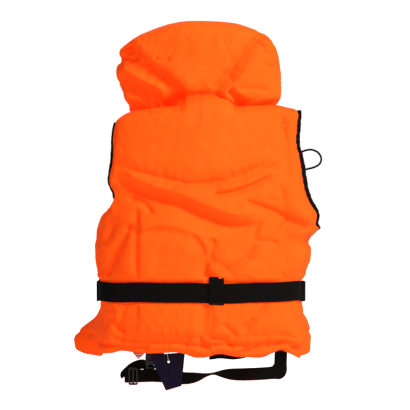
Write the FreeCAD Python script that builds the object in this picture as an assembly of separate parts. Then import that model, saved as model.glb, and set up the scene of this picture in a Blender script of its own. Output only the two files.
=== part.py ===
"""Adult foam life jacket of the 100 N kind: a vest of foam slabs in an orange fabric cover, with a
standing head collar, a front zip, a 38 mm waist belt with a side-release buckle and a 25 mm crotch strap.

Frame: millimetres, +Z up towards the wearer's head, the wearer's front faces -Y, +X is the wearer's left.
The origin is in the plane of the hem, on the centre line of the vest. One STEP file per sub-part.
"""

import FreeCAD
import Part
import math
import os

from FreeCAD import Vector

# ---- driving dimensions -------------------------------------------------------------------------
HALF_WAIST = 200.0          # outside of the belt, at the side
HINGE_Y = -10.0             # a front half swings about a vertical line here, 2 mm outside of the belt
HINGE_GAP = 1.0             # each half keeps this far from the plane through the hinge line

BACK_R = 430.0              # outer surface of the back, an arc about a vertical line
BACK_Y = 105.0              # furthest back point
YOKE_THICK = 42.0
LOWER_THICK = 34.0
YOKE_Z = 265.0              # the thick yoke starts here
SHOULDER_Z = 446.0
HEM_Z = 0.0

FRONT_OUT_Y = -137.0        # outer face of the flat front halves
FRONT_IN_Y = -73.0
FRONT_EDGE_X = 6.5          # inner edge of a front half, beside the zip

COLLAR_R = 302.5
COLLAR_THICK = 51.0
COLLAR_BACK_Y = 78.5
COLLAR_HINGE_Y = 80.0       # horizontal line along the neck seam
COLLAR_HINGE_Z = 459.0
COLLAR_TOP = 631.0
COLLAR_TILT_SLOPE = 0.2126  # tangent of 12 degrees: room under the wings for a forward tilt

FABRIC = 2.5                # cover wall, cloth and lining together
POCKET_GAP = 0.6            # between a slab and its pocket

BELT_WIDTH = 38.0
BELT_Z = 112.0
WEBBING = 1.6
LAYER_GAP = 0.4
STRAP_WIDTH = 25.0
STRAP_Y = 34.0

ZIP_TOP = 318.0
ZIP_BOTTOM = 8.0
SLIDER_Z = 12.0
SLIDER_LENGTH = 20.0
TEETH_INNER = 0.9
TEETH_OUTER = 3.2

TAPE = 0.7                  # reflective patches and labels
BINDING = 4.0               # bias tape round the armholes


# ---- helpers ------------------------------------------------------------------------------------
def flat_xy(a, b):
    return Vector(a, b, 0)


def flat_xz(a, b):
    return Vector(a, 0, b)


def flat_yz(a, b):
    return Vector(0, a, b)


def corner_arc(before, corner, after, radius):
    """Start, middle, end and centre of the arc that rounds one corner, in the plane of the outline."""
    ax, ay = before[0] - corner[0], before[1] - corner[1]
    bx, by = after[0] - corner[0], after[1] - corner[1]
    la, lb = math.hypot(ax, ay), math.hypot(bx, by)
    ax, ay, bx, by = ax / la, ay / la, bx / lb, by / lb
    half = math.acos(max(-1.0, min(1.0, ax * bx + ay * by))) / 2
    if radius <= 0 or half > math.radians(89.5):
        return None
    reach = min(radius / math.tan(half), 0.48 * la, 0.48 * lb)
    radius = reach * math.tan(half)
    mx, my = ax + bx, ay + by
    lm = math.hypot(mx, my)
    mx, my = mx / lm, my / lm
    far = radius / math.sin(half)
    start = (corner[0] + ax * reach, corner[1] + ay * reach)
    end = (corner[0] + bx * reach, corner[1] + by * reach)
    centre = (corner[0] + mx * far, corner[1] + my * far)
    middle = (centre[0] - mx * radius, centre[1] - my * radius)
    return start, middle, end, centre


def outline(points, flat=flat_xz, grow=0.0):
    """Face inside a closed outline of (a, b, corner radius) points, made larger by grow."""
    edges = []
    count = len(points)
    pen = None
    first = None
    for i in range(count):
        a, b, radius = points[i]
        arc = corner_arc(points[i - 1], points[i], points[(i + 1) % count], radius)
        start = arc[0] if arc else (a, b)
        if pen is None:
            first = start
        elif math.dist(pen, start) > 1e-6:
            edges.append(Part.makeLine(flat(*pen), flat(*start)))
        pen = start
        if arc:
            edges.append(Part.Arc(flat(*arc[0]), flat(*arc[1]), flat(*arc[2])).toShape())
            pen = arc[2]
    if math.dist(pen, first) > 1e-6:
        edges.append(Part.makeLine(flat(*pen), flat(*first)))
    face = Part.Face(Part.Wire(edges))
    return face.makeOffset2D(grow) if grow else face


def slab_y(points, y0, y1, grow=0.0):
    """Outline in the XZ plane, solid from y0 to y1."""
    face = outline(points, flat_xz, grow)
    face.translate(Vector(0, y0, 0))
    return face.extrude(Vector(0, y1 - y0, 0))


def side_line(path, shift, flat):
    """Edges of an open path of (a, b, corner radius) points moved sideways, and its two end points."""
    edges = []
    ends = []
    pen = None
    for i, (a, b, radius) in enumerate(path):
        if 0 < i < len(path) - 1:
            start, middle, end, centre = corner_arc(path[i - 1], path[i], path[i + 1], radius)
            arms = [(p[0] - centre[0], p[1] - centre[1]) for p in (start, middle, end)]
            turn = arms[0][0] * arms[2][1] - arms[0][1] * arms[2][0]
            scale = 1 - math.copysign(1, turn) * shift / math.hypot(*arms[0])
            arc = [(centre[0] + x * scale, centre[1] + y * scale) for x, y in arms]
            edges.append(Part.makeLine(flat(*pen), flat(*arc[0])))
            edges.append(Part.Arc(*(flat(*p) for p in arc)).toShape())
            pen = arc[2]
        else:
            near = path[1] if i == 0 else path[-2]
            way = (near[0] - a, near[1] - b)
            side = shift if i == 0 else -shift
            length = math.hypot(*way)
            point = (a - way[1] / length * side, b + way[0] / length * side)
            if pen is not None:
                edges.append(Part.makeLine(flat(*pen), flat(*point)))
            ends.append(point)
            pen = point
    return edges, ends


def ribbon(path, thickness, flat):
    """Face of a strip of even thickness along an open path of (a, b, corner radius) points."""
    left, left_ends = side_line(path, thickness / 2, flat)
    right, right_ends = side_line(path, -thickness / 2, flat)
    caps = [Part.makeLine(flat(*p), flat(*q)) for p, q in zip(left_ends, right_ends)]
    return Part.Face(Part.Wire(Part.__sortEdges__(left + right + caps)))


def strip_z(path, thickness, z0, z1):
    """Strip seen from above: the path is in XY, the width along Z."""
    face = ribbon(path, thickness, flat_xy)
    face.translate(Vector(0, 0, z0))
    return face.extrude(Vector(0, 0, z1 - z0))


def strip_y(path, width, y0, y1):
    """Strip seen from the front: the path is in XZ, the width in the same plane, the thickness along Y."""
    face = ribbon(path, width, flat_xz)
    face.translate(Vector(0, y0, 0))
    return face.extrude(Vector(0, y1 - y0, 0))


def box(x0, x1, y0, y1, z0, z1):
    return Part.makeBox(x1 - x0, y1 - y0, z1 - z0, Vector(x0, y0, z0))


def rod(start, end, radius):
    way = end - start
    return Part.makeCylinder(radius, way.Length, start, way)


def ring_wall(centre, r_in, r_out, z0, z1):
    """Upright tube wall about a vertical line through centre (x, y)."""
    foot = Vector(centre[0], centre[1], z0)
    return Part.makeCylinder(r_out, z1 - z0, foot).cut(Part.makeCylinder(r_in, z1 - z0, foot))


def wide(points):
    """Mirrors the points of one side, listed from the centre line outwards, to close an outline."""
    return points + [(-a, b, r) for a, b, r in reversed(points) if a > 0]


def other_side(shape):
    return shape.mirror(Vector(0, 0, 0), Vector(1, 0, 0))


def rounded(shape, radius, wanted):
    """Rounds the edges that wanted(edge) picks."""
    return shape.makeFillet(radius, [edge for edge in shape.Edges if wanted(edge)])


def along(edge, axis):
    """True for a straight edge that runs along the axis, 0 for X, 1 for Y and 2 for Z."""
    if not isinstance(edge.Curve, (Part.Line, Part.LineSegment)):
        return False
    way = edge.Vertexes[1].Point - edge.Vertexes[0].Point
    return way.Length > 1e-6 and abs(way[axis]) > 0.999 * way.Length


def cord(points, radius):
    """Round cord through the points."""
    curve = Part.BSplineCurve()
    curve.interpolate(points)
    path = Part.Wire(curve.toShape())
    start = curve.value(curve.FirstParameter)
    profile = Part.Wire(Part.makeCircle(radius, start, curve.tangent(curve.FirstParameter)[0]))
    return path.makePipeShell([profile], True, False)


# ---- back ---------------------------------------------------------------------------------------
BACK_AXIS_Y = BACK_Y - BACK_R


def back_wall(outside, inside, z0=HEM_Z, z1=COLLAR_TOP):
    """Curved wall of the back between two depths under its outer surface."""
    return ring_wall((0, BACK_AXIS_Y), BACK_R - inside, BACK_R - outside, z0, z1)


def back_face_y(x, depth=0.0):
    """Y of the back at x, at a depth under its outer surface."""
    return BACK_AXIS_Y + math.sqrt((BACK_R - depth) ** 2 - x * x)


BACK_OUTLINE = wide([
    (100, 458, 90), (178, SHOULDER_Z, 12), (174, 395, 60), (181, 330, 40), (171, 285, 40),
    (169, 110, 80), (172, HEM_Z, 8),
])
YOKE_FOAM_OUTLINE = wide([(80, 450, 90), (165, 438, 14), (160, 348, 24), (60, 312, 160)])
LOWER_FOAM_OUTLINE = [(5, 14, 14), (5, 236, 34), (116, 228, 46), (118, 14, 18)]


def yoke_foam(grow=0.0):
    wall = back_wall(FABRIC - grow, YOKE_THICK - FABRIC + grow)
    return wall.common(slab_y(YOKE_FOAM_OUTLINE, 0, BACK_Y, grow))


def lower_foam(grow=0.0):
    wall = back_wall(FABRIC - grow, LOWER_THICK - FABRIC + grow)
    return wall.common(slab_y(LOWER_FOAM_OUTLINE, 0, BACK_Y, grow))


def back_cover():
    shell = back_wall(0, LOWER_THICK, HEM_Z, YOKE_Z).fuse(back_wall(0, YOKE_THICK, YOKE_Z))
    shell = shell.common(slab_y(BACK_OUTLINE, 0, BACK_Y + 1)).removeSplitter()
    lower = lower_foam(POCKET_GAP)
    return shell.cut(yoke_foam(POCKET_GAP)).cut(lower).cut(other_side(lower))


GUSSET_R = 98.0
GUSSET_X = 100.0
GUSSET_TOP = 236.0
GUSSET_THICK = 6.0


def side_gusset():
    """Padded cloth from the back's side edge to the hinge line, under the arm."""
    wall = ring_wall((GUSSET_X, HINGE_Y), GUSSET_R - GUSSET_THICK, GUSSET_R, HEM_Z, GUSSET_TOP + 40)
    keep = [
        (HINGE_Y + HINGE_GAP, HEM_Z, 0), (HINGE_Y + HINGE_GAP, GUSSET_TOP, 10),
        (25, GUSSET_TOP + 2, 40), (62, 284, 6), (62, HEM_Z, 0),
    ]
    side = outline(keep, flat_yz)
    side.translate(Vector(173, 0, 0))
    return wall.common(side.extrude(Vector(40, 0, 0)))


PAD_INNER_X, PAD_OUTER_X = 108.0, 176.0
PAD_Z0, PAD_Z1 = 434.0, 449.0
PAD_BACK_Y = 60.0            # it runs this far back, then meets the yoke's inner side
PAD_ROUND = 5.0


def back_shoulder_pad():
    """Padded strap over the shoulder, from the yoke to the plane of the hinge line."""
    pad = box(PAD_INNER_X, PAD_OUTER_X, HINGE_Y + HINGE_GAP, PAD_BACK_Y, PAD_Z0, PAD_Z1)
    pad = rounded(pad, PAD_ROUND, lambda e: along(e, 1))
    inside = Part.makeCylinder(BACK_R - YOKE_THICK - LAYER_GAP, COLLAR_TOP, Vector(0, BACK_AXIS_Y, 0))
    return pad.common(inside)


def binding_band(points, low, high):
    """Flat band of tape that follows the outline on the wearer's left, between two heights."""
    band = slab_y(points, -200, 200, LAYER_GAP + BINDING).cut(slab_y(points, -200, 200, LAYER_GAP))
    return band.common(box(120, 260, -200, 200, low, high))


def back_armhole_binding():
    """Bias tape along the armhole edge of the back, from the shoulder down to the gusset."""
    middle = YOKE_THICK / 2
    wall = back_wall(middle - BINDING, middle + BINDING)
    return binding_band(BACK_OUTLINE, 286, SHOULDER_Z - 2).common(wall)


# ---- waist belt ---------------------------------------------------------------------------------
SLOT_IN = 5.2                # a buckle's webbing slot lies this far in from its end
BELT_BOTTOM, BELT_TOP = BELT_Z - BELT_WIDTH / 2, BELT_Z + BELT_WIDTH / 2
BELT_SIDE_X = HALF_WAIST - WEBBING / 2
BELT_REACH = 172.0           # the belt leaves the back's outer surface here
BELT_CORNER_Y = 42.0
BELT_CORNER_R = 48.0


def belt_back():
    """Webbing round the back, then along the sides up to the plane of the hinge line."""
    arc = ring_wall((0, BACK_AXIS_Y), BACK_R + LAYER_GAP, BACK_R + LAYER_GAP + WEBBING, BELT_BOTTOM, BELT_TOP)
    arc = arc.common(box(-BELT_REACH, BELT_REACH, 0, BACK_Y + 10, 0, COLLAR_TOP))
    mid = LAYER_GAP + WEBBING / 2
    start = (BELT_REACH, back_face_y(BELT_REACH, -mid), 0)
    corner = (BELT_SIDE_X, BELT_CORNER_Y, BELT_CORNER_R)
    side = strip_z([start, corner, (BELT_SIDE_X, HINGE_Y + HINGE_GAP, 0)], WEBBING, BELT_BOTTOM, BELT_TOP)
    return arc.fuse(side).fuse(other_side(side)).removeSplitter()


KEEPER_X = -31.0
KEEPER_WIDTH = 29.0
KEEPER_Z = BELT_Z + 4.0
KEEPER_REACH = 26.5         # half height, so that its sewn ends show above and below the belt


def belt_back_keeper():
    """Webbing loop sewn to the back above and below the belt, beside the centre line."""
    x0, x1 = KEEPER_X - KEEPER_WIDTH / 2, KEEPER_X + KEEPER_WIDTH / 2
    z0, z1 = KEEPER_Z - KEEPER_REACH, KEEPER_Z + KEEPER_REACH
    over = BACK_R + 2 * LAYER_GAP + WEBBING
    loop = ring_wall((0, BACK_AXIS_Y), over, over + WEBBING, z0, z1)
    for low, high in ((z0, BELT_BOTTOM - 0.5), (BELT_TOP + 0.5, z1)):
        loop = loop.fuse(ring_wall((0, BACK_AXIS_Y), BACK_R + 0.1, over + WEBBING, low, high))
    return loop.common(box(x0, x1, 0, BACK_Y + 10, z0, z1)).removeSplitter()


BELT_FRONT_Y = FRONT_OUT_Y - LAYER_GAP - WEBBING / 2


def belt_front_left():
    """Webbing from the plane of the hinge line, round the corner and flat across the front half."""
    path = [(BELT_SIDE_X, HINGE_Y - HINGE_GAP, 0), (BELT_SIDE_X, BELT_FRONT_Y, 2.5), (20, BELT_FRONT_Y, 0)]
    return strip_z(path, WEBBING, BELT_BOTTOM, BELT_TOP)


def belt_front_right(socket):
    """The same on the right, then up through the socket's slot, over its bar and sewn down on itself."""
    bounds = socket.BoundBox
    slot = bounds.XMin + SLOT_IN
    over = bounds.YMin - LAYER_GAP - WEBBING / 2
    second = BELT_FRONT_Y - WEBBING - LAYER_GAP
    path = [
        (-BELT_SIDE_X, HINGE_Y - HINGE_GAP, 0), (-BELT_SIDE_X, BELT_FRONT_Y, 2.5), (slot, BELT_FRONT_Y, 1),
        (slot, over, 1.2), (bounds.XMin - 2, over, 3), (bounds.XMin - 11, second, 3), (bounds.XMin - 34, second, 0),
    ]
    return strip_z(path, WEBBING, BELT_BOTTOM, BELT_TOP)


def belt_loop():
    """Webbing loop that holds both layers of the belt on the front half."""
    x0, x1 = 112.0, 142.0
    low, high = BELT_BOTTOM - 7, BELT_TOP + 7
    over = FRONT_OUT_Y - 2 * WEBBING - 3 * LAYER_GAP
    loop = box(x0, x1, over - WEBBING, over, low, high)
    for z0, z1 in ((low, BELT_BOTTOM - 0.5), (BELT_TOP + 0.5, high)):
        loop = loop.fuse(box(x0, x1, over - WEBBING, FRONT_OUT_Y - 0.1, z0, z1))
    return loop.removeSplitter()


# ---- side-release buckles -----------------------------------------------------------------------
def buckle(webbing):
    """Socket, plug and two spring arms for a webbing width, closed, in the buckle's own frame.

    The plug pulls out along +X, the width runs along Z, the mouth of the socket is the plane x = 0
    and the side that lies on the garment faces +Y.
    """
    width, thick = webbing + 13.0, 3.5 + webbing * 0.2
    room_w, room_t = webbing + 5.0, thick - 4.6
    length, depth = 14.0 + webbing * 0.7, webbing * 0.7
    edge = 2.2
    half, face = width / 2, thick / 2
    body = [(-length, half - 3, 4), (-length * 0.55, half - 1.5, 20), (0, half, 2),
            (0, -half, 2), (-length * 0.55, -half + 1.5, 20), (-length, -half + 3, 4)]
    socket = slab_y(body, -face, face)
    socket = rounded(socket, edge, lambda e: e.BoundBox.YLength < 1e-6)
    socket = socket.cut(box(-depth, 1, -room_t / 2, room_t / 2, -room_w / 2, room_w / 2))
    window = depth * 0.62
    for side in (1, -1):
        z0, z1 = sorted((side * (room_w / 2 - 1), side * (half + 1)))
        socket = socket.cut(box(-window, -window * 0.35, -room_t / 2, room_t / 2, z0, z1))
    slot = slab_y([(-length + 3.2, -webbing / 2 - 1, 1), (-length + 3.2, webbing / 2 + 1, 1),
                   (-length + 7.2, webbing / 2 + 1, 1), (-length + 7.2, -webbing / 2 - 1, 1)], -thick, thick)
    socket = socket.cut(slot)

    gap = 0.4
    base = 7.0 + webbing * 0.12
    ladder = base + 10.0 + webbing * 0.26
    plug = slab_y([(gap, -half, 2), (gap, half, 2), (base, half - 0.5, 6), (ladder, half - 2.5, 4),
                   (ladder, -half + 2.5, 4), (base, -half + 0.5, 6)], -face, face)
    plug = rounded(plug, edge, lambda e: e.BoundBox.YLength < 1e-6)
    bar = (ladder - base - 3.2) / 2
    for start in (base, base + bar + 1.0):
        end = start + bar - 1.4
        plug = plug.cut(slab_y([(start, -webbing / 2 - 0.8, 1), (start, webbing / 2 + 0.8, 1),
                                (end, webbing / 2 + 0.8, 1), (end, -webbing / 2 - 0.8, 1)], -thick, thick))
    # the webbing's upper layer lies in a shallow channel on the garment side of the ladder
    plug = plug.cut(box(base + 0.5, ladder + 1, face - WEBBING - LAYER_GAP, face + 1,
                        -webbing / 2 - 0.8, webbing / 2 + 0.8))
    tongue = slab_y([(-depth + 3, -2.5, 2), (-depth + 3, 2.5, 2), (gap + 1, 4.5, 0), (gap + 1, -4.5, 0)],
                    -room_t / 2 + 0.5, room_t / 2 - 0.5)
    plug = plug.fuse(tongue).removeSplitter()

    outer = room_w / 2 - 0.5
    arm_w = 2.4 + webbing * 0.07
    root = outer - arm_w
    tip = -depth + 1.5
    arm = slab_y([(gap - 0.2, root, 0), (gap - 0.2, outer - 1.2, 0), (-window * 0.3, outer, 3),
                  (-window * 1.02, outer, 1.5), (tip, outer - arm_w, 2), (tip, root - 2.2, 1.5),
                  (-window * 1.1, root - 1.2, 3), (-window * 0.7, root, 8)],
                 -room_t / 2 + 0.5, room_t / 2 - 0.5)
    low_arm = arm.mirror(Vector(0, 0, 0), Vector(0, 0, 1))
    return {"socket": socket, "plug": plug, "arm_high": arm, "arm_low": low_arm, "thick": thick, "ladder": ladder}


MOUTH_X = -7.0              # the zip slider passes between the open buckle's halves
CLIP_TRAVEL = 40.0


def belt_buckle():
    """Belt buckle with its plug pulled out, lying on the fixed layer of the belt."""
    parts = buckle(BELT_WIDTH)
    y = FRONT_OUT_Y - 2 * LAYER_GAP - WEBBING - parts["thick"] / 2
    for name in ("socket", "plug", "arm_high", "arm_low"):
        out = 0.0 if name == "socket" else CLIP_TRAVEL
        parts[name].translate(Vector(MOUTH_X + out, y, BELT_Z))
    return parts


def belt_tail(parts):
    """Second layer of webbing: from the plug's ladder back along the belt, with its free end."""
    start = MOUTH_X + CLIP_TRAVEL + parts["ladder"] - 7.0
    y = FRONT_OUT_Y - 2 * LAYER_GAP - WEBBING
    return box(start, 164, y - WEBBING, y - 0.05, BELT_BOTTOM, BELT_TOP)


# ---- crotch strap -------------------------------------------------------------------------------
CROTCH_X = 88.0
CROTCH_MOUTH_Z = -24.0


def crotch_buckle():
    """Crotch buckle, closed: the socket hangs from the hem and the plug pulls out downwards."""
    parts = buckle(STRAP_WIDTH)
    y = STRAP_Y - WEBBING / 2 - LAYER_GAP - parts["thick"] / 2
    for name in ("socket", "plug", "arm_high", "arm_low"):
        parts[name].rotate(Vector(0, 0, 0), Vector(0, 1, 0), 90)
        parts[name].translate(Vector(CROTCH_X, y, CROTCH_MOUTH_Z))
    return parts


STRAP_RIGHT = (-152.0, -47.0)    # middle line of the strap where it turns, and where it ends
STRAP_LEFT = (148.0, -56.5)


def strap_z(x):
    """Height of the strap's middle line on the run below the hem."""
    share = (x - STRAP_RIGHT[0]) / (STRAP_LEFT[0] - STRAP_RIGHT[0])
    return STRAP_RIGHT[1] + share * (STRAP_LEFT[1] - STRAP_RIGHT[1])


def crotch_strap():
    """Webbing from the hem on the wearer's right, down, across below the hem and under the plug."""
    half = WEBBING / 2
    path = [(-150, 16, 0), (*STRAP_RIGHT, 15), (*STRAP_LEFT, 0)]
    return strip_y(path, STRAP_WIDTH, STRAP_Y - half, STRAP_Y + half)


def crotch_socket_tab(parts):
    """Thin webbing sewn inside the hem at both ends and looped round the socket's bar."""
    bounds = parts["socket"].BoundBox
    slot = bounds.ZMax - SLOT_IN
    top = bounds.ZMax
    front, back = bounds.YMin - 1.3, bounds.YMax + 1.3
    path = [
        (54.6, 27, 0), (54.6, top + 9, 3), (front + 3, top + 6, 3), (front, top, 2), (front, slot, 1.2),
        (back, slot, 1.2), (back, top, 2), (back + 3, top + 3, 3), (56.6, top + 6.4, 3), (56.6, 27, 0),
    ]
    face = ribbon(path, 1.2, flat_yz)
    face.translate(Vector(CROTCH_X - 11, 0, 0))
    return face.extrude(Vector(22, 0, 0))


def crotch_adjuster():
    """Three-bar slide on the strap beside the buckle."""
    x = 130.0
    z = strap_z(x)
    outer = slab_y([(x - 9, z - 17, 3), (x + 9, z - 17, 3), (x + 9, z + 17, 3), (x - 9, z + 17, 3)],
                   STRAP_Y - 3.4, STRAP_Y + 3.4)
    channel = box(x - 12, x + 12, STRAP_Y - 1.2, STRAP_Y + 1.2, z - 13.6, z + 13.6)
    frame = outer.cut(channel)
    for left in (x - 6.2, x + 1.6):
        frame = frame.cut(box(left, left + 4.6, STRAP_Y - 4, STRAP_Y + 4, z - 13.6, z + 13.6))
    return frame


ANCHOR_X0, ANCHOR_X1 = -94.0, -18.0
ANCHOR_Z0, ANCHOR_Z1 = -9.0, 18.0


def hem_anchor_tab():
    """Black webbing sewn along the inside of the hem behind the centre of the back."""
    inner = BACK_R - LOWER_THICK - LAYER_GAP
    wall = ring_wall((0, BACK_AXIS_Y), inner - WEBBING, inner, ANCHOR_Z0, ANCHOR_Z1)
    return wall.common(box(ANCHOR_X0, ANCHOR_X1, 0, BACK_Y, ANCHOR_Z0, ANCHOR_Z1))


# ---- front half, wearer's left ------------------------------------------------------------------
FRONT_OUTLINE = [
    (FRONT_EDGE_X, HEM_Z, 6), (FRONT_EDGE_X, 322, 16), (42, 356, 40), (96, 430, 30), (106, SHOULDER_Z, 14),
    (176, SHOULDER_Z, 14), (170, 400, 60), (159, 342, 50), (163, 290, 40), (197, 234, 30), (196, 88, 60),
    (236, 18, 12), (226, HEM_Z, 8),
]
FRONT_FOAM_OUTLINE = [
    (15, 12, 10), (15, 312, 20), (50, 352, 40), (104, 426, 20), (112, 438, 8), (166, 438, 12),
    (160, 396, 60), (150, 342, 50), (154, 286, 40), (186, 226, 30), (186, 12, 14),
]


def front_foam(grow=0.0):
    return slab_y(FRONT_FOAM_OUTLINE, FRONT_OUT_Y + FABRIC - grow, FRONT_IN_Y - FABRIC + grow, grow)


def front_cover():
    return slab_y(FRONT_OUTLINE, FRONT_OUT_Y, FRONT_IN_Y).cut(front_foam(POCKET_GAP))


def front_side():
    """Padded cloth from the front half's inner face to the plane of the hinge line."""
    y0, y1 = FRONT_IN_Y + LAYER_GAP, HINGE_Y - HINGE_GAP
    outer = GUSSET_X + GUSSET_R
    return box(outer - GUSSET_THICK, outer, y0, y1, HEM_Z, GUSSET_TOP - 4)


def front_shoulder_pad():
    pad = box(PAD_INNER_X, PAD_OUTER_X, FRONT_IN_Y + LAYER_GAP, HINGE_Y - HINGE_GAP, PAD_Z0, PAD_Z1)
    return rounded(pad, PAD_ROUND, lambda e: along(e, 1))


def front_armhole_binding():
    """Bias tape along the armhole edge of the front half."""
    middle = (FRONT_OUT_Y + FRONT_IN_Y) / 2
    band = binding_band(FRONT_OUTLINE, 250, SHOULDER_Z - 2)
    return band.common(box(0, 300, middle - BINDING, middle + BINDING, 0, COLLAR_TOP))


def chest_reflective():
    """Retro-reflective patch on the upper chest."""
    y = FRONT_OUT_Y - 0.1
    return slab_y([(74, 330, 3), (74, 380, 3), (146, 380, 3), (146, 330, 3)], y - TAPE, y)


# ---- zip ----------------------------------------------------------------------------------------
ZIP_Y = FRONT_OUT_Y - 0.6   # plane of the zip tapes


def zip_tape(bottom):
    return box(TEETH_OUTER + 0.1, 18, ZIP_Y - 0.3, ZIP_Y + 0.3, bottom, ZIP_TOP)


def zip_teeth(bottom):
    row = box(TEETH_INNER, TEETH_OUTER, ZIP_Y - 1.3, ZIP_Y + 1.3, bottom, ZIP_TOP - 6)
    return rounded(row, 0.5, lambda e: along(e, 2))


TEETH_START = SLIDER_Z + SLIDER_LENGTH + 2.5


def zip_pin():
    """Stiff pin at the foot of the left row."""
    pin = box(TEETH_INNER, TEETH_OUTER, ZIP_Y - 1.1, ZIP_Y + 1.1, TEETH_START, TEETH_START + 13)
    return rounded(pin, 0.5, lambda e: along(e, 2))


def zip_box():
    """Retainer box at the foot of the right row, where the slider parks."""
    shell = box(-6, 5.6, ZIP_Y - 2.2, ZIP_Y + 2.2, ZIP_BOTTOM - 4.5, SLIDER_Z - 1)
    shell = rounded(shell, 1, lambda e: along(e, 2))
    return shell.cut(box(TEETH_INNER - 0.2, TEETH_OUTER + 0.2, ZIP_Y - 1.4, ZIP_Y + 1.4, ZIP_BOTTOM - 2, SLIDER_Z))


def zip_slider():
    """Two plates joined by a bridge between the rows, with side rims that leave room for the tapes."""
    top = SLIDER_Z + SLIDER_LENGTH
    shape = [(-5.4, top - 3, 3), (-4.0, SLIDER_Z, 1.5), (4.0, SLIDER_Z, 1.5), (5.4, top - 3, 3), (3.5, top, 3),
             (-3.5, top, 3)]
    channel_t = 1.7
    body = slab_y(shape, ZIP_Y - channel_t - 1.2, ZIP_Y + channel_t + 1.2)
    for side in (1, -1):
        x0, x1 = sorted((side * 0.5, side * (TEETH_OUTER + 0.4)))
        body = body.cut(box(x0, x1, ZIP_Y - channel_t, ZIP_Y + channel_t, SLIDER_Z - 1, top + 1))
        x0, x1 = sorted((side * TEETH_OUTER, side * 8))
        body = body.cut(box(x0, x1, ZIP_Y - 0.6, ZIP_Y + 0.6, SLIDER_Z - 1, top + 1))
    front = ZIP_Y - channel_t - 1.2
    crown = box(-1.2, 1.2, front - 2.6, front + 0.2, SLIDER_Z + 5, top - 4)
    crown = rounded(crown, 1.5, lambda e: along(e, 0) and e.BoundBox.YMax < front)
    hole = rod(Vector(-5, front - 1.1, PULL_Z), Vector(5, front - 1.1, PULL_Z), PULL_PIN + 0.15)
    return body.fuse(crown).cut(hole).removeSplitter()


PULL_Z = SLIDER_Z + SLIDER_LENGTH - 7.5
PULL_PIN = 0.7
PULL_Y = ZIP_Y - 1.7 - 1.2 - 1.1


def zip_pull():
    """Pull tab that hangs over the slider: two cheeks on a cross pin, and a grip with a window."""
    pin = rod(Vector(-3.2, PULL_Y, PULL_Z), Vector(3.2, PULL_Y, PULL_Z), PULL_PIN)
    top, fork, end = PULL_Z + PULL_PIN, PULL_Z - 16, PULL_Z - 34
    tab = slab_y([(-3.6, top, 0.3), (3.6, top, 0.3), (3.6, fork, 2), (4.4, end, 3), (-4.4, end, 3),
                  (-3.6, fork, 2)], PULL_Y - PULL_PIN, PULL_Y + PULL_PIN)
    tab = tab.cut(box(-2.0, 2.0, PULL_Y - 3, PULL_Y + 3, fork, top + 1))
    window = [(-2.4, fork - 5, 1.5), (2.4, fork - 5, 1.5), (2.8, end + 3, 1.5), (-2.8, end + 3, 1.5)]
    tab = tab.cut(slab_y(window, PULL_Y - 3, PULL_Y + 3))
    return tab.fuse(pin).removeSplitter()


# ---- whistle, labels and tag --------------------------------------------------------------------
WHISTLE_X, WHISTLE_Z = -120.0, 300.0
WHISTLE_Y = FRONT_OUT_Y - 8.0


def whistle():
    """Flat pealess whistle, hanging from its ring."""
    x, z, y = WHISTLE_X, WHISTLE_Z, WHISTLE_Y
    body = slab_y([(x - 4, z - 7, 3), (x + 4, z - 7, 3), (x + 9, z - 16, 6), (x + 9, z - 34, 4), (x + 5, z - 50, 2),
                   (x - 5, z - 50, 2), (x - 9, z - 34, 4), (x - 9, z - 16, 6)], y - 5, y + 5)
    body = rounded(body, 1.6, lambda e: e.BoundBox.YLength < 1e-6)
    body = body.cut(box(x - 3.6, x + 3.6, y - 3, y + 3, z - 52, z - 20))
    for side in (1, -1):
        window = slab_y([(x - 3.6, z - 27, 0.8), (x + 3.6, z - 27, 0.8), (x + 3.6, z - 23, 0.8),
                         (x - 3.6, z - 23, 0.8)], y, y + side * 7)
        body = body.cut(window)
    ring = Part.makeCylinder(5.4, 4, Vector(x, y - 2, z), Vector(0, 1, 0))
    neck = box(x - 2.2, x + 2.2, y - 2, y + 2, z - 9, z - 3)
    body = body.fuse(ring).fuse(neck)
    return body.cut(Part.makeCylinder(2.8, 20, Vector(x, y - 10, z), Vector(0, 1, 0))).removeSplitter()


def whistle_lanyard():
    """Thin cord: a free loop beside the armhole, then across the chest and through the whistle's ring."""
    y = WHISTLE_Y
    points = [
        Vector(-170, -103, 346), Vector(-200, -98, 346), Vector(-226, -91, 358), Vector(-221, -92, 373),
        Vector(-200, -106, 376), Vector(-183, -128, 370), Vector(-165, y - 1, 352), Vector(-140, y - 7, 326),
        Vector(-124, y - 8, 306), Vector(-120, y - 3.5, 300), Vector(-120, y + 3.5, 300), Vector(-125, y + 5.5, 308),
    ]
    return cord(points, 1.0)


LABEL_HALF = 55.0
LABEL_Z0, LABEL_Z1 = 330.0, 410.0


def inside_label():
    """Care label sewn flat to the inside of the yoke."""
    inner = BACK_R - YOKE_THICK - 0.1
    wall = ring_wall((0, BACK_AXIS_Y), inner - TAPE, inner, LABEL_Z0, LABEL_Z1)
    return wall.common(box(-LABEL_HALF, LABEL_HALF, 0, BACK_Y, LABEL_Z0, LABEL_Z1))


def care_tab():
    """Small folded tab sewn into the hem."""
    return slab_y([(114, 12, 1), (108, -12, 1), (120, -22, 2), (141, 4, 1), (139, 12, 1)], 43, 44)


TAG_X, TAG_Z, TAG_Y = 61.0, -27.0, 42.0


def hang_tag():
    """Card on a thread, wider at the top, with a punched hole."""
    card = slab_y([(98, -14, 3), (66.5, -83, 2), (36, -74, 2), (29, -8, 3)], TAG_Y, TAG_Y + 0.8)
    return card.cut(Part.makeCylinder(2.2, 4, Vector(TAG_X, TAG_Y - 1, TAG_Z), Vector(0, 1, 0)))


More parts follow.
